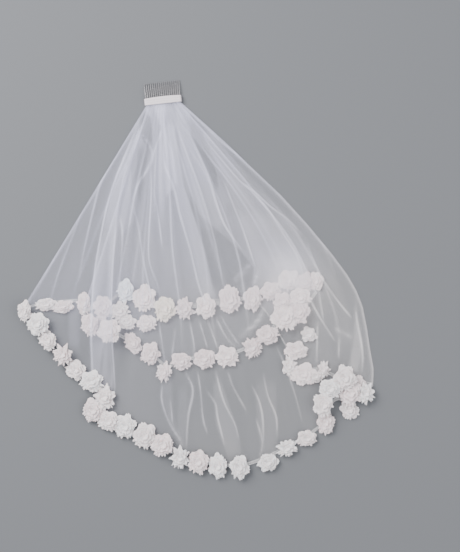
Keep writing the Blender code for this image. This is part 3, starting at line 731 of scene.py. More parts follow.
def distance_to(line, plan):
    """Distance of each plan point from a line, and how far along the line its nearest place is, 0 to 1."""
    smooth = smooth_curve(line, CURVE_STEPS) if len(line) > 2 else np.array(line, float)
    nearest = np.full(plan.shape[:2], np.inf)
    along = np.zeros(plan.shape[:2])
    many = len(smooth) - 1
    for number, (start, finish) in enumerate(zip(smooth[:-1], smooth[1:])):
        step = finish - start
        share = np.clip(((plan - start) @ step) / (step @ step), 0.0, 1.0)
        apart = np.hypot(*(plan - start - share[..., None] * step).transpose(2, 0, 1))
        closer = apart < nearest
        nearest[closer] = apart[closer]
        along[closer] = (number + share[closer]) / many
    return nearest, along


def press_creases(creases, plan):
    """Height and extra plies that creases add to a layer, fading out towards each crease's ends."""
    height = np.zeros(plan.shape[:2])
    plies = np.zeros(plan.shape[:2])
    for number, crease in enumerate(creases):
        apart, along = distance_to(crease.line, plan)
        fade = np.clip(CREASE_FADE * along * (1.0 - along), 0.0, 1.0) ** CREASE_TAPER
        uneven = 1.0 + CREASE_UNEVEN * np.sin(GOLDEN_TURN * number + CREASE_WAVES * along)
        foot = np.exp(-((apart / (CREASE_FOOT * crease.width)) ** 2))
        core = np.exp(-((apart / (CREASE_CORE * crease.width)) ** 2))
        height += CREASE_RISE * crease.height * fade * foot
        plies += crease.plies * fade * uneven * (CREASE_STRENGTH * core + CREASE_HALO * foot)
    return height, plies


def between_edges(patch, plan):
    """How far inside a patch each place is, its distances from both edges, and the fade at the patch's ends."""
    level = plan[..., 1]
    left = np.array(patch.left, float)[::-1]
    right = np.array(patch.right, float)[::-1]
    from_left = plan[..., 0] - np.interp(level, left[:, 1], left[:, 0])
    from_right = np.interp(level, right[:, 1], right[:, 0]) - plan[..., 0]
    top = max(left[-1, 1], right[-1, 1])
    low = min(left[0, 1], right[0, 1])
    ends = ramp((top - level) / PANEL_FADE + PANEL_END) * ramp((level - low) / patch.fade + PANEL_END)
    inside = ramp(from_left / patch.soft) * ramp(from_right / patch.soft)
    return inside * ends, from_left, from_right, ends


def pocket_share(plan):
    """The share of the plies that the pockets leave."""
    share = np.ones(plan.shape[:2])
    for pocket in POCKETS:
        share *= 1.0 - pocket.depth * between_edges(pocket, plan)[0]
    return share


def fold_panels(panels, plan):
    """Plies that the panels add between and along their edges."""
    plies = np.zeros(plan.shape[:2])
    for panel in panels:
        inside, from_left, from_right, ends = between_edges(panel, plan)
        rims = np.exp(-((from_left / RIM_WIDTH) ** 2)) + np.exp(-((from_right / RIM_WIDTH) ** 2))
        plies += PANEL_STRENGTH * panel.plies * inside + panel.rim * rims * ends
    return plies


def bunched_plies(plan, most):
    """Plies added where the layers are bunched together on the right."""
    across = (plan[..., 0] - BUNCHED["x"]) / BUNCHED["across"]
    along = (plan[..., 1] - BUNCHED["y"]) / BUNCHED["along"]
    return most * np.exp(-(across**2) - along**2)


def gathered_plies(plan):
    """How many plies of the hem's net are drawn into each place."""
    spacing = np.hypot(*np.gradient(plan, axis=1).transpose(2, 0, 1))
    hem = np.median(spacing[-1])
    ratio = np.clip(hem / np.maximum(spacing, LEAST_SPACING), 1.0, GATHER_MOST)
    return ratio**GATHER_POWER


def edge_plies(plan):
    """Extra plies where the net turns over along its side folds."""
    plies = np.zeros(plan.shape[:2])
    for column in (0, -1):
        apart = np.hypot(*(plan - plan[:, column][:, None]).transpose(2, 0, 1))
        plies += EDGE_PLIES * np.exp(-((apart / EDGE_WIDTH) ** 2))
    return plies


def fold_directions(plan, column, side):
    """Directions straight out of a side fold, for each row."""
    along = np.gradient(plan[:, column], axis=0)
    along /= np.hypot(along[:, 0], along[:, 1])[:, None]
    return side * np.stack([-along[:, 1], along[:, 0]], axis=1)


def side_fold(plan, column, side, from_heights, to_heights):
    """Points of a rounded side fold between two layers, row by row."""
    out = fold_directions(plan, column, side)
    middle = (from_heights + to_heights) / 2
    half = (from_heights - to_heights) / 2
    points = []
    for step in range(1, FOLD_STEPS + 1):
        angle = math.pi * step / (FOLD_STEPS + 1)
        spot = plan[:, column] + FOLD_REACH * math.sin(angle) * out
        points.append(np.column_stack([spot, middle + half * math.cos(angle)]))
    return np.stack(points, axis=1)


def finished_mesh(body, name):
    """A mesh from a bmesh, which is freed."""
    mesh = bpy.data.meshes.new(name)
    body.to_mesh(mesh)
    body.free()
    return mesh


def add_object(name, data):
    """A new object at the origin, linked to the scene."""
    thing = bpy.data.objects.new(name, data)
    bpy.context.scene.collection.objects.link(thing)
    return thing


def grid_object(name, points, values, flat, closed):
    """A sheet from rows and columns of points in millimetres, with its cover and its flat cloth coordinates."""
    rows, columns = points.shape[:2]
    body = bmesh.new()
    bmesh.ops.create_grid(body, x_segments=columns - 1, y_segments=rows - 1, size=1.0)
    mesh = finished_mesh(body, name)
    mesh.vertices.foreach_set("co", (points * METRES).astype(np.float32).ravel())
    cover = mesh.attributes.new("cover", "FLOAT", "POINT")
    cover.data.foreach_set("value", values.astype(np.float32).ravel())
    corners = np.zeros(len(mesh.loops), np.int32)
    mesh.loops.foreach_get("vertex_index", corners)
    cloth = mesh.uv_layers.new(name="cloth")
    cloth.data.foreach_set("uv", flat.reshape(-1, 2)[corners].astype(np.float32).ravel())
    if closed:
        body = bmesh.new()
        body.from_mesh(mesh)
        bmesh.ops.remove_doubles(body, verts=body.verts, dist=SEAM_REACH)
        body.to_mesh(mesh)
        body.free()
    for face in mesh.polygons:
        face.use_smooth = True
    return add_object(name, mesh)


def value_group(name, inputs, output):
    """An empty node group with named inputs, and one number that it puts out."""
    group = bpy.data.node_groups.new(name, "ShaderNodeTree")
    for label, kind, default in inputs:
        socket = group.interface.new_socket(name=label, in_out="INPUT", socket_type=kind)
        if default is not None:
            socket.default_value = default
    group.interface.new_socket(name=output, in_out="OUTPUT", socket_type="NodeSocketFloat")
    return group, group.nodes.new("NodeGroupInput"), group.nodes.new("NodeGroupOutput")


def feed(tree, socket, value):
    """Link a socket to another one, or give it a plain value."""
    if isinstance(value, bpy.types.NodeSocket):
        tree.links.new(value, socket)
    else:
        socket.default_value = value


def set_inputs(node, **values):
    """Plain values of a node's inputs, named with underscores for spaces."""
    for label, value in values.items():
        node.inputs[label.replace("_", " ")].default_value = value


def maths(tree, operation, *values, clamp=False):
    """A Math node fed by sockets or numbers, and its result."""
    node = tree.nodes.new("ShaderNodeMath")
    node.operation = operation
    node.use_clamp = clamp
    for place, value in enumerate(values):
        feed(tree, node.inputs[place], value)
    return node.outputs[0]


def spread(tree, value, gain, least, clamp=False):
    """A value times a gain, plus the least that it may come to."""
    return maths(tree, "MULTIPLY_ADD", value, gain, least, clamp=clamp)


def blend_colours(tree, share, first, second):
    """A colour mix of two sockets or colours."""
    node = tree.nodes.new("ShaderNodeMix")
    node.data_type = "RGBA"
    tree.links.new(share, node.inputs["Factor"])
    feed(tree, node.inputs[6], first)
    feed(tree, node.inputs[7], second)
    return node.outputs[2]


def noise(tree, place, scale, detail=2.0):
    """Soft random patches over a place, from 0 to 1."""
    node = tree.nodes.new("ShaderNodeTexNoise")
    set_inputs(node, Scale=scale, Detail=detail)
    tree.links.new(place, node.inputs["Vector"])
    return node.outputs["Fac"]


def split_place(tree, place):
    """The parts of a place along X, Y and Z."""
    node = tree.nodes.new("ShaderNodeSeparateXYZ")
    tree.links.new(place, node.inputs[0])
    return node.outputs


def relief(tree, shader, height, strength, distance):
    """Small bumps of the surface, from a height."""
    node = tree.nodes.new("ShaderNodeBump")
    set_inputs(node, Strength=strength, Distance=distance)
    tree.links.new(height, node.inputs["Height"])
    tree.links.new(node.outputs["Normal"], shader.inputs["Normal"])


def weave_group():
    """Fine crossed threads: a thread mask from 0 to 1."""
    group, start, end = value_group(
        "crossed_threads", (("Place", "NodeSocketVector", None), ("Threads", "NodeSocketFloat", 1000.0)), "Mask",
    )
    waves = []
    for axis in ("X", "Y"):
        along = split_place(group, start.outputs["Place"])[axis]
        angle = maths(group, "MULTIPLY", maths(group, "MULTIPLY", along, start.outputs["Threads"]), 2 * math.pi)
        waves.append(spread(group, maths(group, "SINE", angle), gain=0.5, least=0.5))
    group.links.new(maths(group, "MAXIMUM", *waves), end.inputs["Mask"])
    return group


def net_group():
    """Round-holed net: a thread mask that averages near 1 over a few holes."""
    found = bpy.data.node_groups.get("holed_net")
    if found:
        return found
    group, start, end = value_group(
        "holed_net", (("Place", "NodeSocketVector", None), ("Holes per metre", "NodeSocketFloat", 550.0)), "Mask",
    )
    cells = group.nodes.new("ShaderNodeTexVoronoi")
    cells.feature = "DISTANCE_TO_EDGE"
    cells.voronoi_dimensions = "2D"
    set_inputs(cells, Randomness=NET_UNEVEN)
    group.links.new(start.outputs["Place"], cells.inputs["Vector"])
    group.links.new(start.outputs["Holes per metre"], cells.inputs["Scale"])
    hole = maths(group, "MULTIPLY", cells.outputs["Distance"], NET_HOLE)
    thread = maths(group, "SUBTRACT", 1.0, hole, clamp=True)
    group.links.new(spread(group, thread, gain=1.3, least=0.62), end.inputs["Mask"])
    return group


def placed(tree, group, **values):
    """A node group placed in a material, its inputs given by name with underscores for spaces."""
    node = tree.nodes.new("ShaderNodeGroup")
    node.node_tree = group
    for label, value in values.items():
        feed(tree, node.inputs[label.replace("_", " ")], value)
    return node.outputs["Mask"]


def new_material(name):
    """A node material, its node tree and its Principled shader."""
    material = bpy.data.materials.new(name)
    material.use_nodes = True
    material.use_backface_culling = False
    return material, material.node_tree, material.node_tree.nodes["Principled BSDF"]


def cloth_place(tree):
    node = tree.nodes.new("ShaderNodeUVMap")
    node.uv_map = "cloth"
    return node.outputs["UV"]


def attribute(tree, name):
    node = tree.nodes.new("ShaderNodeAttribute")
    node.attribute_name = name
    return node.outputs


def net_material():
    """Soft see-through net, denser where its plies lie together."""
    settings = bpy.context.scene.veil_net
    material, tree, shader = new_material("soft_net")
    net = placed(tree, net_group(), Place=cloth_place(tree), Holes_per_metre=1.0 / settings.mesh_size)
    clear = maths(tree, "POWER", 1.0 - settings.cover, attribute(tree, "cover")["Fac"])
    alpha = maths(tree, "MULTIPLY", maths(tree, "SUBTRACT", 1.0, clear), net, clamp=True)
    shadow = tree.nodes.new("ShaderNodeLightPath").outputs["Is Shadow Ray"]
    passed = maths(tree, "SUBTRACT", 1.0, maths(tree, "MULTIPLY", shadow, THREAD_GLOW))
    tree.links.new(maths(tree, "MULTIPLY", alpha, passed), shader.inputs["Alpha"])
    spot = tree.nodes.new("ShaderNodeTexCoord").outputs["Object"]
    axes = split_place(tree, spot)
    rightward = spread(tree, axes["X"], gain=WARM_RIGHTWARD, least=noise(tree, spot, scale=5.0))
    downward = spread(tree, axes["Y"], gain=-WARM_DOWNWARD, least=rightward)
    warmth = maths(tree, "SUBTRACT", downward, WARM_START, clamp=True)
    toned = blend_colours(tree, warmth, tuple(settings.colour), tuple(settings.warm_colour))
    tree.links.new(toned, shader.inputs["Base Color"])
    relief(tree, shader, net, strength=0.35, distance=0.0004)
    set_inputs(shader, Roughness=0.62, Sheen_Weight=0.35, Sheen_Roughness=0.45)
    return material


def tape_material():
    """Narrow net tape: the same net, closer, with a firmer edge."""
    material, tree, shader = new_material("net_tape")
    place = cloth_place(tree)
    net = placed(tree, net_group(), Place=place, Holes_per_metre=TAPE_HOLES)
    firm = attribute(tree, "cover")["Fac"]
    tree.links.new(maths(tree, "MULTIPLY", firm, net, clamp=True), shader.inputs["Alpha"])
    colour = tuple(bpy.context.scene.veil_trim.tape)
    toned = blend_colours(tree, noise(tree, place, scale=40.0), colour, TAPE_WARM)
    tree.links.new(toned, shader.inputs["Base Color"])
    set_inputs(shader, Roughness=0.7, Sheen_Weight=0.3)
    return material


def petal_material():
    """Chiffon petals: fine weave, gathers towards the middle, a tint for each flower, and painted shade towards
    the flower's middle, darker at the petals' roots with soft random patches, so the frayed edges stay pale.
    """
    material, tree, shader = new_material("chiffon")
    place = cloth_place(tree)
    axes = split_place(tree, place)
    weave = placed(tree, weave_group(), Place=place, Threads=PETAL_THREADS)
    # Painted shade: the colour darkens towards each petal's root, in the middle of the flower, with soft random
    # patches mixed in.
    painted_shade = maths(tree, "SUBTRACT", 1.0, maths(tree, "MULTIPLY", axes["Y"], PAINTED_SHADE_REACH), clamp=True)
    painted_shade = maths(tree, "MULTIPLY", painted_shade, PAINTED_SHADE_DEPTH)
    painted_shade = spread(tree, noise(tree, place, scale=5.0, detail=3.0), gain=0.14, least=painted_shade, clamp=True)
    toned = blend_colours(tree, painted_shade, attribute(tree, "tint")["Color"], PAINTED_SHADE_TINT)
    tree.links.new(toned, shader.inputs["Base Color"])
    pleats = maths(tree, "SINE", maths(tree, "MULTIPLY", axes["X"], PETAL_PLEATS))
    pleats = maths(tree, "MULTIPLY", pleats, maths(tree, "SUBTRACT", PLEAT_REACH, axes["Y"]))
    relief(tree, shader, spread(tree, weave, gain=0.25, least=pleats), strength=0.28, distance=0.0006)
    tree.links.new(spread(tree, weave, gain=0.15, least=0.7), shader.inputs["Roughness"])
    set_inputs(shader, Sheen_Weight=0.4, Sheen_Roughness=0.5)
    set_inputs(shader, Subsurface_Weight=0.35, Subsurface_Radius=(0.004, 0.0035, 0.0033))
    return material


def satin_material():
    """Satin ribbon: long floats along the ribbon, soft shine and small creases, with painted shade that follows
    the creases.
    """
    material, tree, shader = new_material("satin_ribbon")
    place = cloth_place(tree)
    stretch = tree.nodes.new("ShaderNodeMapping")
    set_inputs(stretch, Scale=SATIN_FLOATS)
    tree.links.new(place, stretch.inputs["Vector"])
    floats = noise(tree, stretch.outputs["Vector"], scale=1.0, detail=4.0)
    creases = noise(tree, place, scale=90.0, detail=3.0)
    colour = tuple(bpy.context.scene.veil_trim.ribbon)
    # Painted shade: the ribbon's colour darkens with the crease pattern, which also gives the creases' relief.
    toned = blend_colours(tree, maths(tree, "MULTIPLY", creases, RIBBON_SHADE_DEPTH), colour, RIBBON_SHADE_TINT)
    tree.links.new(toned, shader.inputs["Base Color"])
    tree.links.new(spread(tree, floats, gain=0.22, least=0.26), shader.inputs["Roughness"])
    relief(tree, shader, spread(tree, creases, gain=2.0, least=floats), strength=0.35, distance=0.0005)
    set_inputs(shader, Sheen_Weight=0.25, Anisotropic=0.4)
    return material


def comb_material():
    """Clear smoky plastic with faint flow marks from moulding."""
    material, tree, shader = new_material("comb_plastic")
    place = tree.nodes.new("ShaderNodeTexCoord").outputs["Object"]
    flow = noise(tree, place, scale=60.0, detail=4.0)
    colour = tuple(bpy.context.scene.veil_trim.comb)
    tree.links.new(blend_colours(tree, flow, colour, COMB_PALE), shader.inputs["Base Color"])
    tree.links.new(spread(tree, flow, gain=0.15, least=0.12), shader.inputs["Roughness"])
    set_inputs(shader, Transmission_Weight=0.45, IOR=1.49, Coat_Weight=0.3)
    return material


def floor_material():
    """Plain matt floor, dark enough to show the white net."""
    material, tree, shader = new_material("plain_floor")
    set_inputs(shader, Base_Color=tuple(bpy.context.scene.veil_stage.floor), Roughness=0.9)
    set_inputs(shader, Specular_IOR_Level=0.2)
    return material


def flower_nodes(row):
    """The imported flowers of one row, in order."""
    return sorted(name for name in frame["nodes"] if name.startswith(f"flower_{row}_"))


def flower_places(row):
    """Every flower of a row: its node or nothing, middle, underside, height and half width in millimetres."""
    places = []
    for node, shape in zip(flower_nodes(row), FLOWER_SHAPES[row], strict=True):
        low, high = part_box(node)
        middle = (low + high) / 2 / METRES
        size = (high - low) / METRES
        spot = {"x": middle.x, "y": middle.y, "shape": shape, "seat": max(size.x, size.y) / 2}
        places.append({"node": node, "base": low.z / METRES, "height": size.z, **spot})
    for spare in SPARE_FLOWERS:
        if spare["row"] == row:
            places.append({"node": None, "base": None, "height": SPARE_HEIGHT, "seat": spare["shape"][1], **spare})
    return places


def pin_to_flowers(flowers, plan, heights):
    """Bring a layer up or down to just under each flower sewn on it."""
    pinned = heights.copy()
    for flower in flowers:
        if flower["base"] is None:
            continue
        apart = np.hypot(plan[..., 0] - flower["x"], plan[..., 1] - flower["y"]) / flower["seat"]
        hold = ramp(PIN_START - PIN_FALL * apart)
        level = flower["base"] - TAPE_LIFT - SEAT_GAP
        pinned = pinned * (1 - hold) + level * hold
    return pinned


def lay_layer(layer, tree, laid, seed):
    """One layer of net, draped over all that lies under it, as a dict of its grids."""
    plan, share, reach = lay_plan(layer.tier, layer.hem, layer.columns)
    inset = plan.copy()
    inset[-1] = plan[-1] * (1 - HEM_INSET) + plan[-2] * HEM_INSET
    heights = heights_on(tree, inset, layer.from_above)
    for _ in range(SETTLE_STEPS):
        heights[GATHER_ROWS:] = blurred(heights)[GATHER_ROWS:]
    flowers = flower_places(layer.name)
    under = laid.highest(plan)
    floor = np.where(under > 0.0, under + LAYER_CLEARANCE, FLOOR_LEVEL)
    for _ in range(DRAPE_STEPS):
        heights[GATHER_ROWS:] = np.maximum(blurred(heights), floor)[GATHER_ROWS:]
    heights = pin_to_flowers(flowers, plan, heights)
    raised, plies = press_creases(layer.creases, plan)
    wander = streaks(share, reach, seed)
    settle = np.clip(RELIEF_START * reach, 0.0, 1.0) * np.clip(RELIEF_END * (1.0 - reach), RELIEF_LEAST, 1.0)
    rise = STREAK_RELIEF if layer.panels else UNDER_RELIEF * STREAK_RELIEF
    heights = heights + settle * (raised + rise * (0.5 + 0.5 * wander) * (1.0 - RELIEF_FALL * reach))
    gathered = gathered_plies(plan)
    streaked = STREAKS_AT_HEM + (1 - STREAKS_AT_HEM) * (1.0 - reach)
    density = gathered * (1.0 + STREAK_DENSITY * wander * streaked)
    density = (density + fold_panels(layer.panels, plan) * gathered) * pocket_share(plan)
    bunched = bunched_plies(plan, BUNCHED["top" if layer.panels else "under"])
    density = density + plies + edge_plies(plan) + bunched
    density = np.maximum(density, LEAST_PLIES)
    for flower in flowers:
        if flower["base"] is None:
            apart = np.hypot(plan[..., 0] - flower["x"], plan[..., 1] - flower["y"])
            near = apart < max(SEAT_SHARE * flower["seat"], apart.min() + SEAT_MARGIN)
            flower["base"] = float(heights[near].max()) + TAPE_LIFT + SEAT_GAP
    laid.add(plan, heights)
    return {"name": layer.name, "plan": plan, "heights": heights, "cover": density, "flowers": flowers}


def lay_flowers(layer, laid):
    """Add a row's flowers to the height map, as low domes."""
    rings = np.linspace(0.0, 1.0, DOME_RINGS)[:, None]
    around = np.linspace(0.0, 2 * math.pi, DOME_AROUND, endpoint=False)[None, :]
    disc = np.stack([rings * np.cos(around), rings * np.sin(around)], axis=-1)
    dome = np.interp(rings, DOME_PLACES, DOME_HEIGHTS) + 0.0 * around
    for flower in layer["flowers"]:
        middle = np.array((flower["x"], flower["y"]))
        laid.add(middle + flower["seat"] * disc, flower["base"] + flower["height"] * dome)


LAYERS = {}


def lay_all():
    """The four layers from the floor up, each kept for the net, tape and flower operators."""
    laid = LaidSoFar()
    trees = {tier.node: solid_tree(tier.node) for tier in (LONG_TIER, SHORT_TIER)}
    for number, layer in enumerate(LAYER_ORDER):
        grids = lay_layer(layer, trees[layer.tier.node], laid, LAYER_SEED_STEP * number + LAYER_SEED)
        lay_flowers(grids, laid)
        LAYERS[layer.name] = grids


def net_tube(tier, material):
    """Both layers of a tier and the two rounded folds that join them, as one sheet of net."""
    over = LAYERS[f"{tier}_back"]
    under = LAYERS[f"{tier}_front"]
    over_points = np.dstack([over["plan"], over["heights"]])
    under_points = np.dstack([under["plan"], under["heights"]])[:, ::-1]
    right = side_fold(over["plan"], -1, 1.0, over["heights"][:, -1], under["heights"][:, -1])
    left = side_fold(over["plan"], 0, -1.0, under["heights"][:, 0], over["heights"][:, 0])
    points = np.concatenate([over_points, right, under_points, left, over_points[:, :1]], axis=1)
    left_edge = over["cover"][:, :1]
    right_cover = np.repeat(over["cover"][:, -1:], FOLD_STEPS, axis=1)
    left_cover = np.repeat(left_edge, FOLD_STEPS, axis=1)
    cover = np.concatenate([over["cover"], right_cover, under["cover"][:, ::-1], left_cover, left_edge], axis=1)
    walked = np.zeros(points.shape[:2])
    walked[:, 1:] = np.cumsum(np.hypot(*np.diff(points[..., :2], axis=1).transpose(2, 0, 1)), axis=1)[-1]
    fallen = np.cumsum(np.hypot(*np.gradient(points[..., :2], axis=0).transpose(2, 0, 1)), axis=0)
    flat = np.dstack([walked, fallen]) * METRES
    thing = grid_object(f"{tier}_net", points, cover, flat, True)
    thing.data.materials.append(material)
    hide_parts(f"{tier}_tier")
    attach(thing, BODY)


class VEIL_OT_net(bpy.types.Operator):
    """Lay the long and the short tier of net"""

    bl_idname = "veil.net"
    bl_label = "Lay the net"

    def execute(self, context):
        lay_all()
        material = net_material()
        for tier in ("long", "short"):
            net_tube(tier, material)
        return {"FINISHED"}


def lay_tape(layer, material):
    """A strip along a hem, made from the layer's own points and moved out, with small ruffles."""
    plan = layer["plan"][GATHER_ROWS:]
    heights = layer["heights"][GATHER_ROWS:]
    rows, columns = heights.shape
    lengths = np.hypot(*(plan[-1] - plan[0]).T)
    strips = []
    steps = np.linspace(0.0, 1.0, TAPE_STRIPS)
    for step in steps:
        reach = 1.0 - (1.0 - step) * TAPE_WIDTH / lengths
        row = np.clip(reach * (rows - 1), 0, rows - TAPE_ROW_END)
        low = row.astype(int)
        part = row - low
        every = np.arange(columns)
        spot = plan[low, every] * (1 - part)[:, None] + plan[low + 1, every] * part[:, None]
        high = heights[low, every] * (1 - part) + heights[low + 1, every] * part
        ruffle = TAPE_RUFFLE * np.sin(every * TAPE_PACE + 2.0 * step) * (1.0 - 2.0 * abs(step - 0.5))
        strips.append(np.column_stack([spot, high + TAPE_LIFT + ruffle]))
    points = np.stack(strips)
    walked = distance_walked(points[-1, :, :2])
    flat = np.dstack(np.meshgrid(walked, steps * TAPE_WIDTH)) * METRES
    firm = TAPE_COVER + TAPE_EDGE_COVER * np.abs(2 * steps - 1.0)[:, None] ** 3 + 0.0 * walked
    thing = grid_object(f"{layer['name']}_net_tape", points, firm, flat, False)
    thing.data.materials.append(material)
    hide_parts(f"{layer['name']}_tape")
    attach(thing, BODY)


class VEIL_OT_tape(bpy.types.Operator):
    """Sew the narrow net tape along the four hems"""

    bl_idname = "veil.tape"
    bl_label = "Sew the tape"

    def execute(self, context):
        material = tape_material()
        for layer in LAYERS.values():
            lay_tape(layer, material)
        return {"FINISHED"}


def turned(place, angle):
    """A plan place turned round the origin."""
    cosine = math.cos(angle)
    sine = math.sin(angle)
    return place[0] * cosine - place[1] * sine, place[0] * sine + place[1] * cosine


def add_petal(body, cloth, flower, ring, direction, shape):
    """One petal, bent up from a flat grid: narrow at the middle of the flower and round or pointed at its tip."""
    made = bmesh.ops.create_grid(body, x_segments=PETAL_ACROSS, y_segments=PETAL_ALONG, size=1.0)
    half_length, half_breadth, lean = flower["shape"]
    reach = half_length * ring.reach * shape["longer"]
    half_width = half_length * ring.half_width * shape["wider"]
    height = flower["height"]
    cosine = math.cos(direction)
    sine = math.sin(direction)
    uses = {}
    for vertex in made["verts"]:
        side = vertex.co.x
        out = (vertex.co.y + 1.0) / 2.0
        uses[vertex] = (side, out)
        swell = math.sin(math.pi * (PETAL_ROOT + PETAL_BELLY * out)) ** BELLY_POWER
        narrow = 1.0 - ring.point * out**POINT_POWER
        corner = abs(side) ** SIDE_POWER * out**TIP_POWER
        rounding = 1.0 - PETAL_ROUND * corner * (1.0 - ring.point)
        tooth = -1.0 if round((side + 1.0) / 2.0 * PETAL_ACROSS) % 2 else 1.0
        fray = 1.0 + PETAL_FRAY * shape["frayed"] * tooth * out**FRAY_POWER
        along = reach * out * rounding * fray
        across = half_width * side * swell * max(narrow, PETAL_LEAST)
        lift = ring.middle + (ring.tip - ring.middle) * out ** shape["bend"]
        cup = PETAL_CUP * side * side * math.sin(math.pi * out)
        ruffle = PETAL_RUFFLE * math.sin(PETAL_PACE * side + shape["phase"]) * out * out
        curl = PETAL_CURL * out**CURL_POWER
        level = flower["base"] + height * min(1.0, max(PETAL_LOWEST, lift + cup + ruffle + curl))
        lengthwise = along * cosine - across * sine
        sideways = (along * sine + across * cosine) * half_breadth / half_length
        east, north = turned((lengthwise, sideways), math.radians(lean))
        vertex.co = ((flower["x"] + east) * METRES, (flower["y"] + north) * METRES, level * METRES)
    for vertex, (side, out) in uses.items():
        for loop in vertex.link_loops:
            loop[cloth].uv = (side * (PETAL_CLOTH + (1 - PETAL_CLOTH) * out), out)


def flower_object(name, flower, number, outward, rings, tint):
    """A chiffon flower of layered petals, its frayed ends towards the hem."""
    chance = np.random.default_rng(FLOWER_SEED + number)
    body = bmesh.new()
    cloth = body.loops.layers.uv.new("cloth")
    tint_layer = body.verts.layers.float_color.new("tint")
    turn = GOLDEN_TURN * number
    outward -= math.radians(flower["shape"][2])
    for ring in rings:
        for petal in range(ring.petals):
            if ring.turn < 1.0:
                place = (petal + 0.5) / ring.petals - 0.5
                direction = outward + 2 * math.pi * ring.turn * place
            else:
                direction = turn + 2 * math.pi * petal / ring.petals
            shape = {
                "longer": 1.0 + chance.uniform(*PETAL_LONGER),
                "wider": 1.0 + chance.uniform(*PETAL_WIDER),
                "bend": chance.uniform(*PETAL_BEND),
                "phase": chance.uniform(0.0, 2 * math.pi),
                "frayed": chance.uniform(*PETAL_FRAYING),
            }
            direction += chance.uniform(-PETAL_SWING, PETAL_SWING)
            add_petal(body, cloth, flower, ring, direction, shape)
        turn += math.pi / 5 + chance.uniform(-RING_SWING, RING_SWING)
    tint = np.array(tint) * chance.uniform(*PALEST)
    for vertex in body.verts:
        vertex[tint_layer] = (*tint, 1.0)
    for face in body.faces:
        face.smooth = True
    return add_object(name, finished_mesh(body, name))


def hem_direction(layer, flower):
    """The way out over the hem at a flower's place."""
    plan = layer["plan"]
    hem = plan[-1]
    near = np.hypot(hem[:, 0] - flower["x"], hem[:, 1] - flower["y"]).argmin()
    way = hem[near] - plan[-HEM_ROWS, near]
    return math.atan2(way[1], way[0])


class VEIL_OT_flowers(bpy.types.Operator):
    """Sew the chiffon flowers on the four hems"""

    bl_idname = "veil.flowers"
    bl_label = "Sew the flowers"

    def execute(self, context):
        material = petal_material()
        number = 0
        for row, layer in LAYERS.items():
            for place, flower in enumerate(layer["flowers"], start=1):
                number += 1
                name = f"chiffon_{row}_{place:02d}"
                rings = POINTED_RINGS if place in POINTED_FLOWERS[row] else ROUND_RINGS
                tint = NAMED_TINTS.get(name, ROW_TINTS[row][number % len(ROW_TINTS[row])])
                thing = flower_object(name, flower, number, hem_direction(layer, flower), rings, tint)
                thing.data.materials.append(material)
                if flower["node"]:
                    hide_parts(flower["node"])
                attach(thing, BODY)
                layer.setdefault("pieces", []).append(thing)
        return {"FINISHED"}


class VEIL_OT_comb(bpy.types.Operator):
    """Round off the comb's moulded edges"""

    bl_idname = "veil.comb"
    bl_label = "Finish the comb"

    def execute(self, context):
        body = bmesh.new()
        body.from_mesh(frame["nodes"]["comb"].data)
        bmesh.ops.remove_doubles(body, verts=body.verts, dist=COMB_MERGE)
        bmesh.ops.dissolve_limit(body, angle_limit=COMB_FLAT_ANGLE, verts=body.verts, edges=body.edges)
        sharp = [edge for edge in body.edges if edge.is_manifold and edge.calc_face_angle() > COMB_SHARP_ANGLE]
        bmesh.ops.bevel(
            body, geom=sharp, offset=COMB_BEVEL, offset_type="OFFSET", segments=2, profile=0.5,
            affect="EDGES", material=-1, clamp_overlap=True,
        )
        bmesh.ops.triangulate(body, faces=body.faces)
        thing = add_object("hair_comb", finished_mesh(body, "hair_comb"))
        thing.data.materials.append(comb_material())
        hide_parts("comb")
        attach(thing, BODY)
        return {"FINISHED"}


def binding_outline(inset):
    """A rounded rectangle round the comb: distance across and height, at even steps round."""
    half = BINDING_WIDTH / 2 - inset
    low = inset
    high = BINDING_HEIGHT - inset
    radius = BINDING_RADIUS - inset
    corners = (
        (half - radius, high - radius, 0.0),
        (-half + radius, high - radius, math.pi / 2),
        (-half + radius, low + radius, math.pi),
        (half - radius, low + radius, 3 * math.pi / 2),
    )
    outline = []
    for across, up, start in corners:
        for step in range(BINDING_CORNER_STEPS + 1):
            angle = start + math.pi / 2 * step / BINDING_CORNER_STEPS
            outline.append((across + radius * math.cos(angle), up + radius * math.sin(angle)))
    return evenly_spaced(np.array(outline + outline[:1]), BINDING_AROUND)


class VEIL_OT_binding(bpy.types.Operator):
    """Wind the satin ribbon round the comb"""

    bl_idname = "veil.binding"
    bl_label = "Wind the ribbon"

    def execute(self, context):
        rows = []
        flat = []
        for row in BINDING_ROWS:
            outline = binding_outline(BINDING_WALL * row.inset)
            points = []
            for number, (across, up) in enumerate(outline):
                wave = math.sin(RIBBON_ACROSS * across + RIBBON_ALONG * row.along)
                wrinkle = RIBBON_WRINKLE * wave * (row.inset == 0.0)
                lift = (row.swell + wrinkle) * (1.0 if up > BINDING_HEIGHT / 2 else 0.0)
                arch = BINDING_ARCH * (1 - (across / (BINDING_WIDTH / 2)) ** 2) * (row.along + 0.5)
                spot = from_comb(across, row.along * BINDING_DEPTH + arch)
                points.append((*spot, max(up + lift * min(1.0, max(0.0, up - RIBBON_LEVEL)), 0.0)))
                flat.append((number / BINDING_AROUND * BINDING_GIRTH, row.along * BINDING_DEPTH * METRES))
            rows.append(points)
        points = np.array(rows)
        cover = np.ones(points.shape[:2])
        flat = np.array(flat).reshape(*points.shape[:2], 2)
        thing = grid_object("satin_binding", points, cover, flat, True)
        body = bmesh.new()
        body.from_mesh(thing.data)
        bmesh.ops.recalc_face_normals(body, faces=body.faces)
        body.to_mesh(thing.data)
        body.free()
        rounding = thing.modifiers.new("rounding", "SUBSURF")
        rounding.levels = rounding.render_levels = 1
        thing.data.materials.append(satin_material())
        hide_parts("binding")
        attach(thing, BODY)
        return {"FINISHED"}


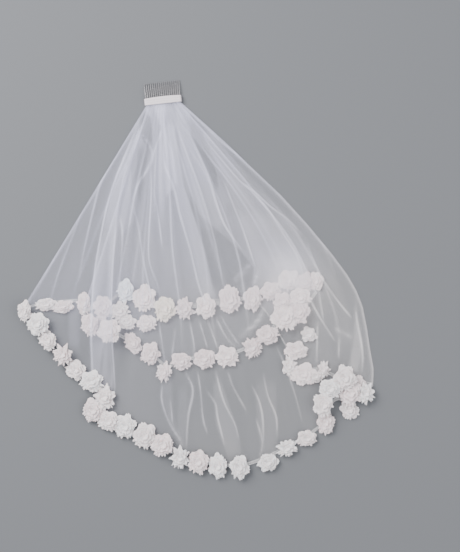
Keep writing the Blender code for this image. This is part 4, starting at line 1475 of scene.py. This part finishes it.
def declare_cloth():
    """Collect the tapes and flowers of each tier; nothing is done with them or with the cut sizes."""
    for tier, (width, length) in CUT_SIZES.items():
        sewn = []
        for side in ("back", "front"):
            sewn.append(bpy.data.objects[f"{tier}_{side}_net_tape"])
            sewn += LAYERS[f"{tier}_{side}"]["pieces"]


def soft_light(name, power, place, size):
    """A square soft light aimed at the middle of the veil."""
    light = bpy.data.lights.new(name, "AREA")
    light.shape = "SQUARE"
    light.size = size
    light.energy = power
    thing = add_object(name, light)
    thing.location = place
    aim = Vector((*VIEW_MIDDLE, 0.0)) - Vector(place)
    thing.rotation_mode = "QUATERNION"
    thing.rotation_quaternion = aim.to_track_quat("-Z", "Y")


class VEIL_OT_stage(bpy.types.Operator):
    """Put down the floor, the lights and the camera"""

    bl_idname = "veil.stage"
    bl_label = "Set the stage"

    def execute(self, context):
        settings = context.scene.veil_stage
        body = bmesh.new()
        bmesh.ops.create_grid(body, x_segments=4, y_segments=4, size=FLOOR_HALF)
        floor = add_object("floor", finished_mesh(body, "floor"))
        floor.data.materials.append(floor_material())

        soft_light("key", settings.key, KEY_PLACE, KEY_SIZE)
        soft_light("fill", settings.fill, FILL_PLACE, FILL_SIZE)

        world = bpy.data.worlds.new("studio")
        world.use_nodes = True
        shade = world.node_tree.nodes["Background"]
        set_inputs(shade, Color=STUDIO_COLOUR, Strength=STUDIO_STRENGTH)
        bpy.context.scene.world = world

        camera = bpy.data.cameras.new("camera")
        camera.sensor_width = SENSOR
        camera.lens = SENSOR * CAMERA_HEIGHT / VIEW_HEIGHT
        thing = add_object("camera", camera)
        thing.location = (*VIEW_MIDDLE, CAMERA_HEIGHT)
        bpy.context.scene.camera = thing
        return {"FINISHED"}


class VEIL_PT_panel(bpy.types.Panel):
    """Lists the steps in the order they are made."""

    bl_label = "Bridal veil"
    bl_idname = "VEIL_PT_panel"
    bl_space_type = "VIEW_3D"
    bl_region_type = "UI"
    bl_category = "Veil"

    def draw(self, context):
        for settings in ("veil_net", "veil_trim", "veil_stage"):
            group = getattr(context.scene, settings)
            for name in group.__annotations__:
                self.layout.prop(group, name)
        for operator in OPERATORS:
            self.layout.operator(operator.bl_idname)


OPERATORS = (VEIL_OT_net, VEIL_OT_tape, VEIL_OT_flowers, VEIL_OT_comb, VEIL_OT_binding, VEIL_OT_stage)
CLASSES = (VeilNetSettings, VeilTrimSettings, VeilStageSettings, *OPERATORS, VEIL_PT_panel)


def register():
    for kind in CLASSES:
        bpy.utils.register_class(kind)
    bpy.types.Scene.veil_net = bpy.props.PointerProperty(type=VeilNetSettings)
    bpy.types.Scene.veil_trim = bpy.props.PointerProperty(type=VeilTrimSettings)
    bpy.types.Scene.veil_stage = bpy.props.PointerProperty(type=VeilStageSettings)


def unregister():
    for name in ("veil_net", "veil_trim", "veil_stage"):
        delattr(bpy.types.Scene, name)
    for kind in reversed(CLASSES):
        bpy.utils.unregister_class(kind)


def main():
    register()
    bpy.ops.veil.net()
    bpy.ops.veil.tape()
    bpy.ops.veil.flowers()
    bpy.ops.veil.comb()
    bpy.ops.veil.binding()
    bpy.ops.veil.stage()
    declare_cloth()


if __name__ == "__main__":
    main()
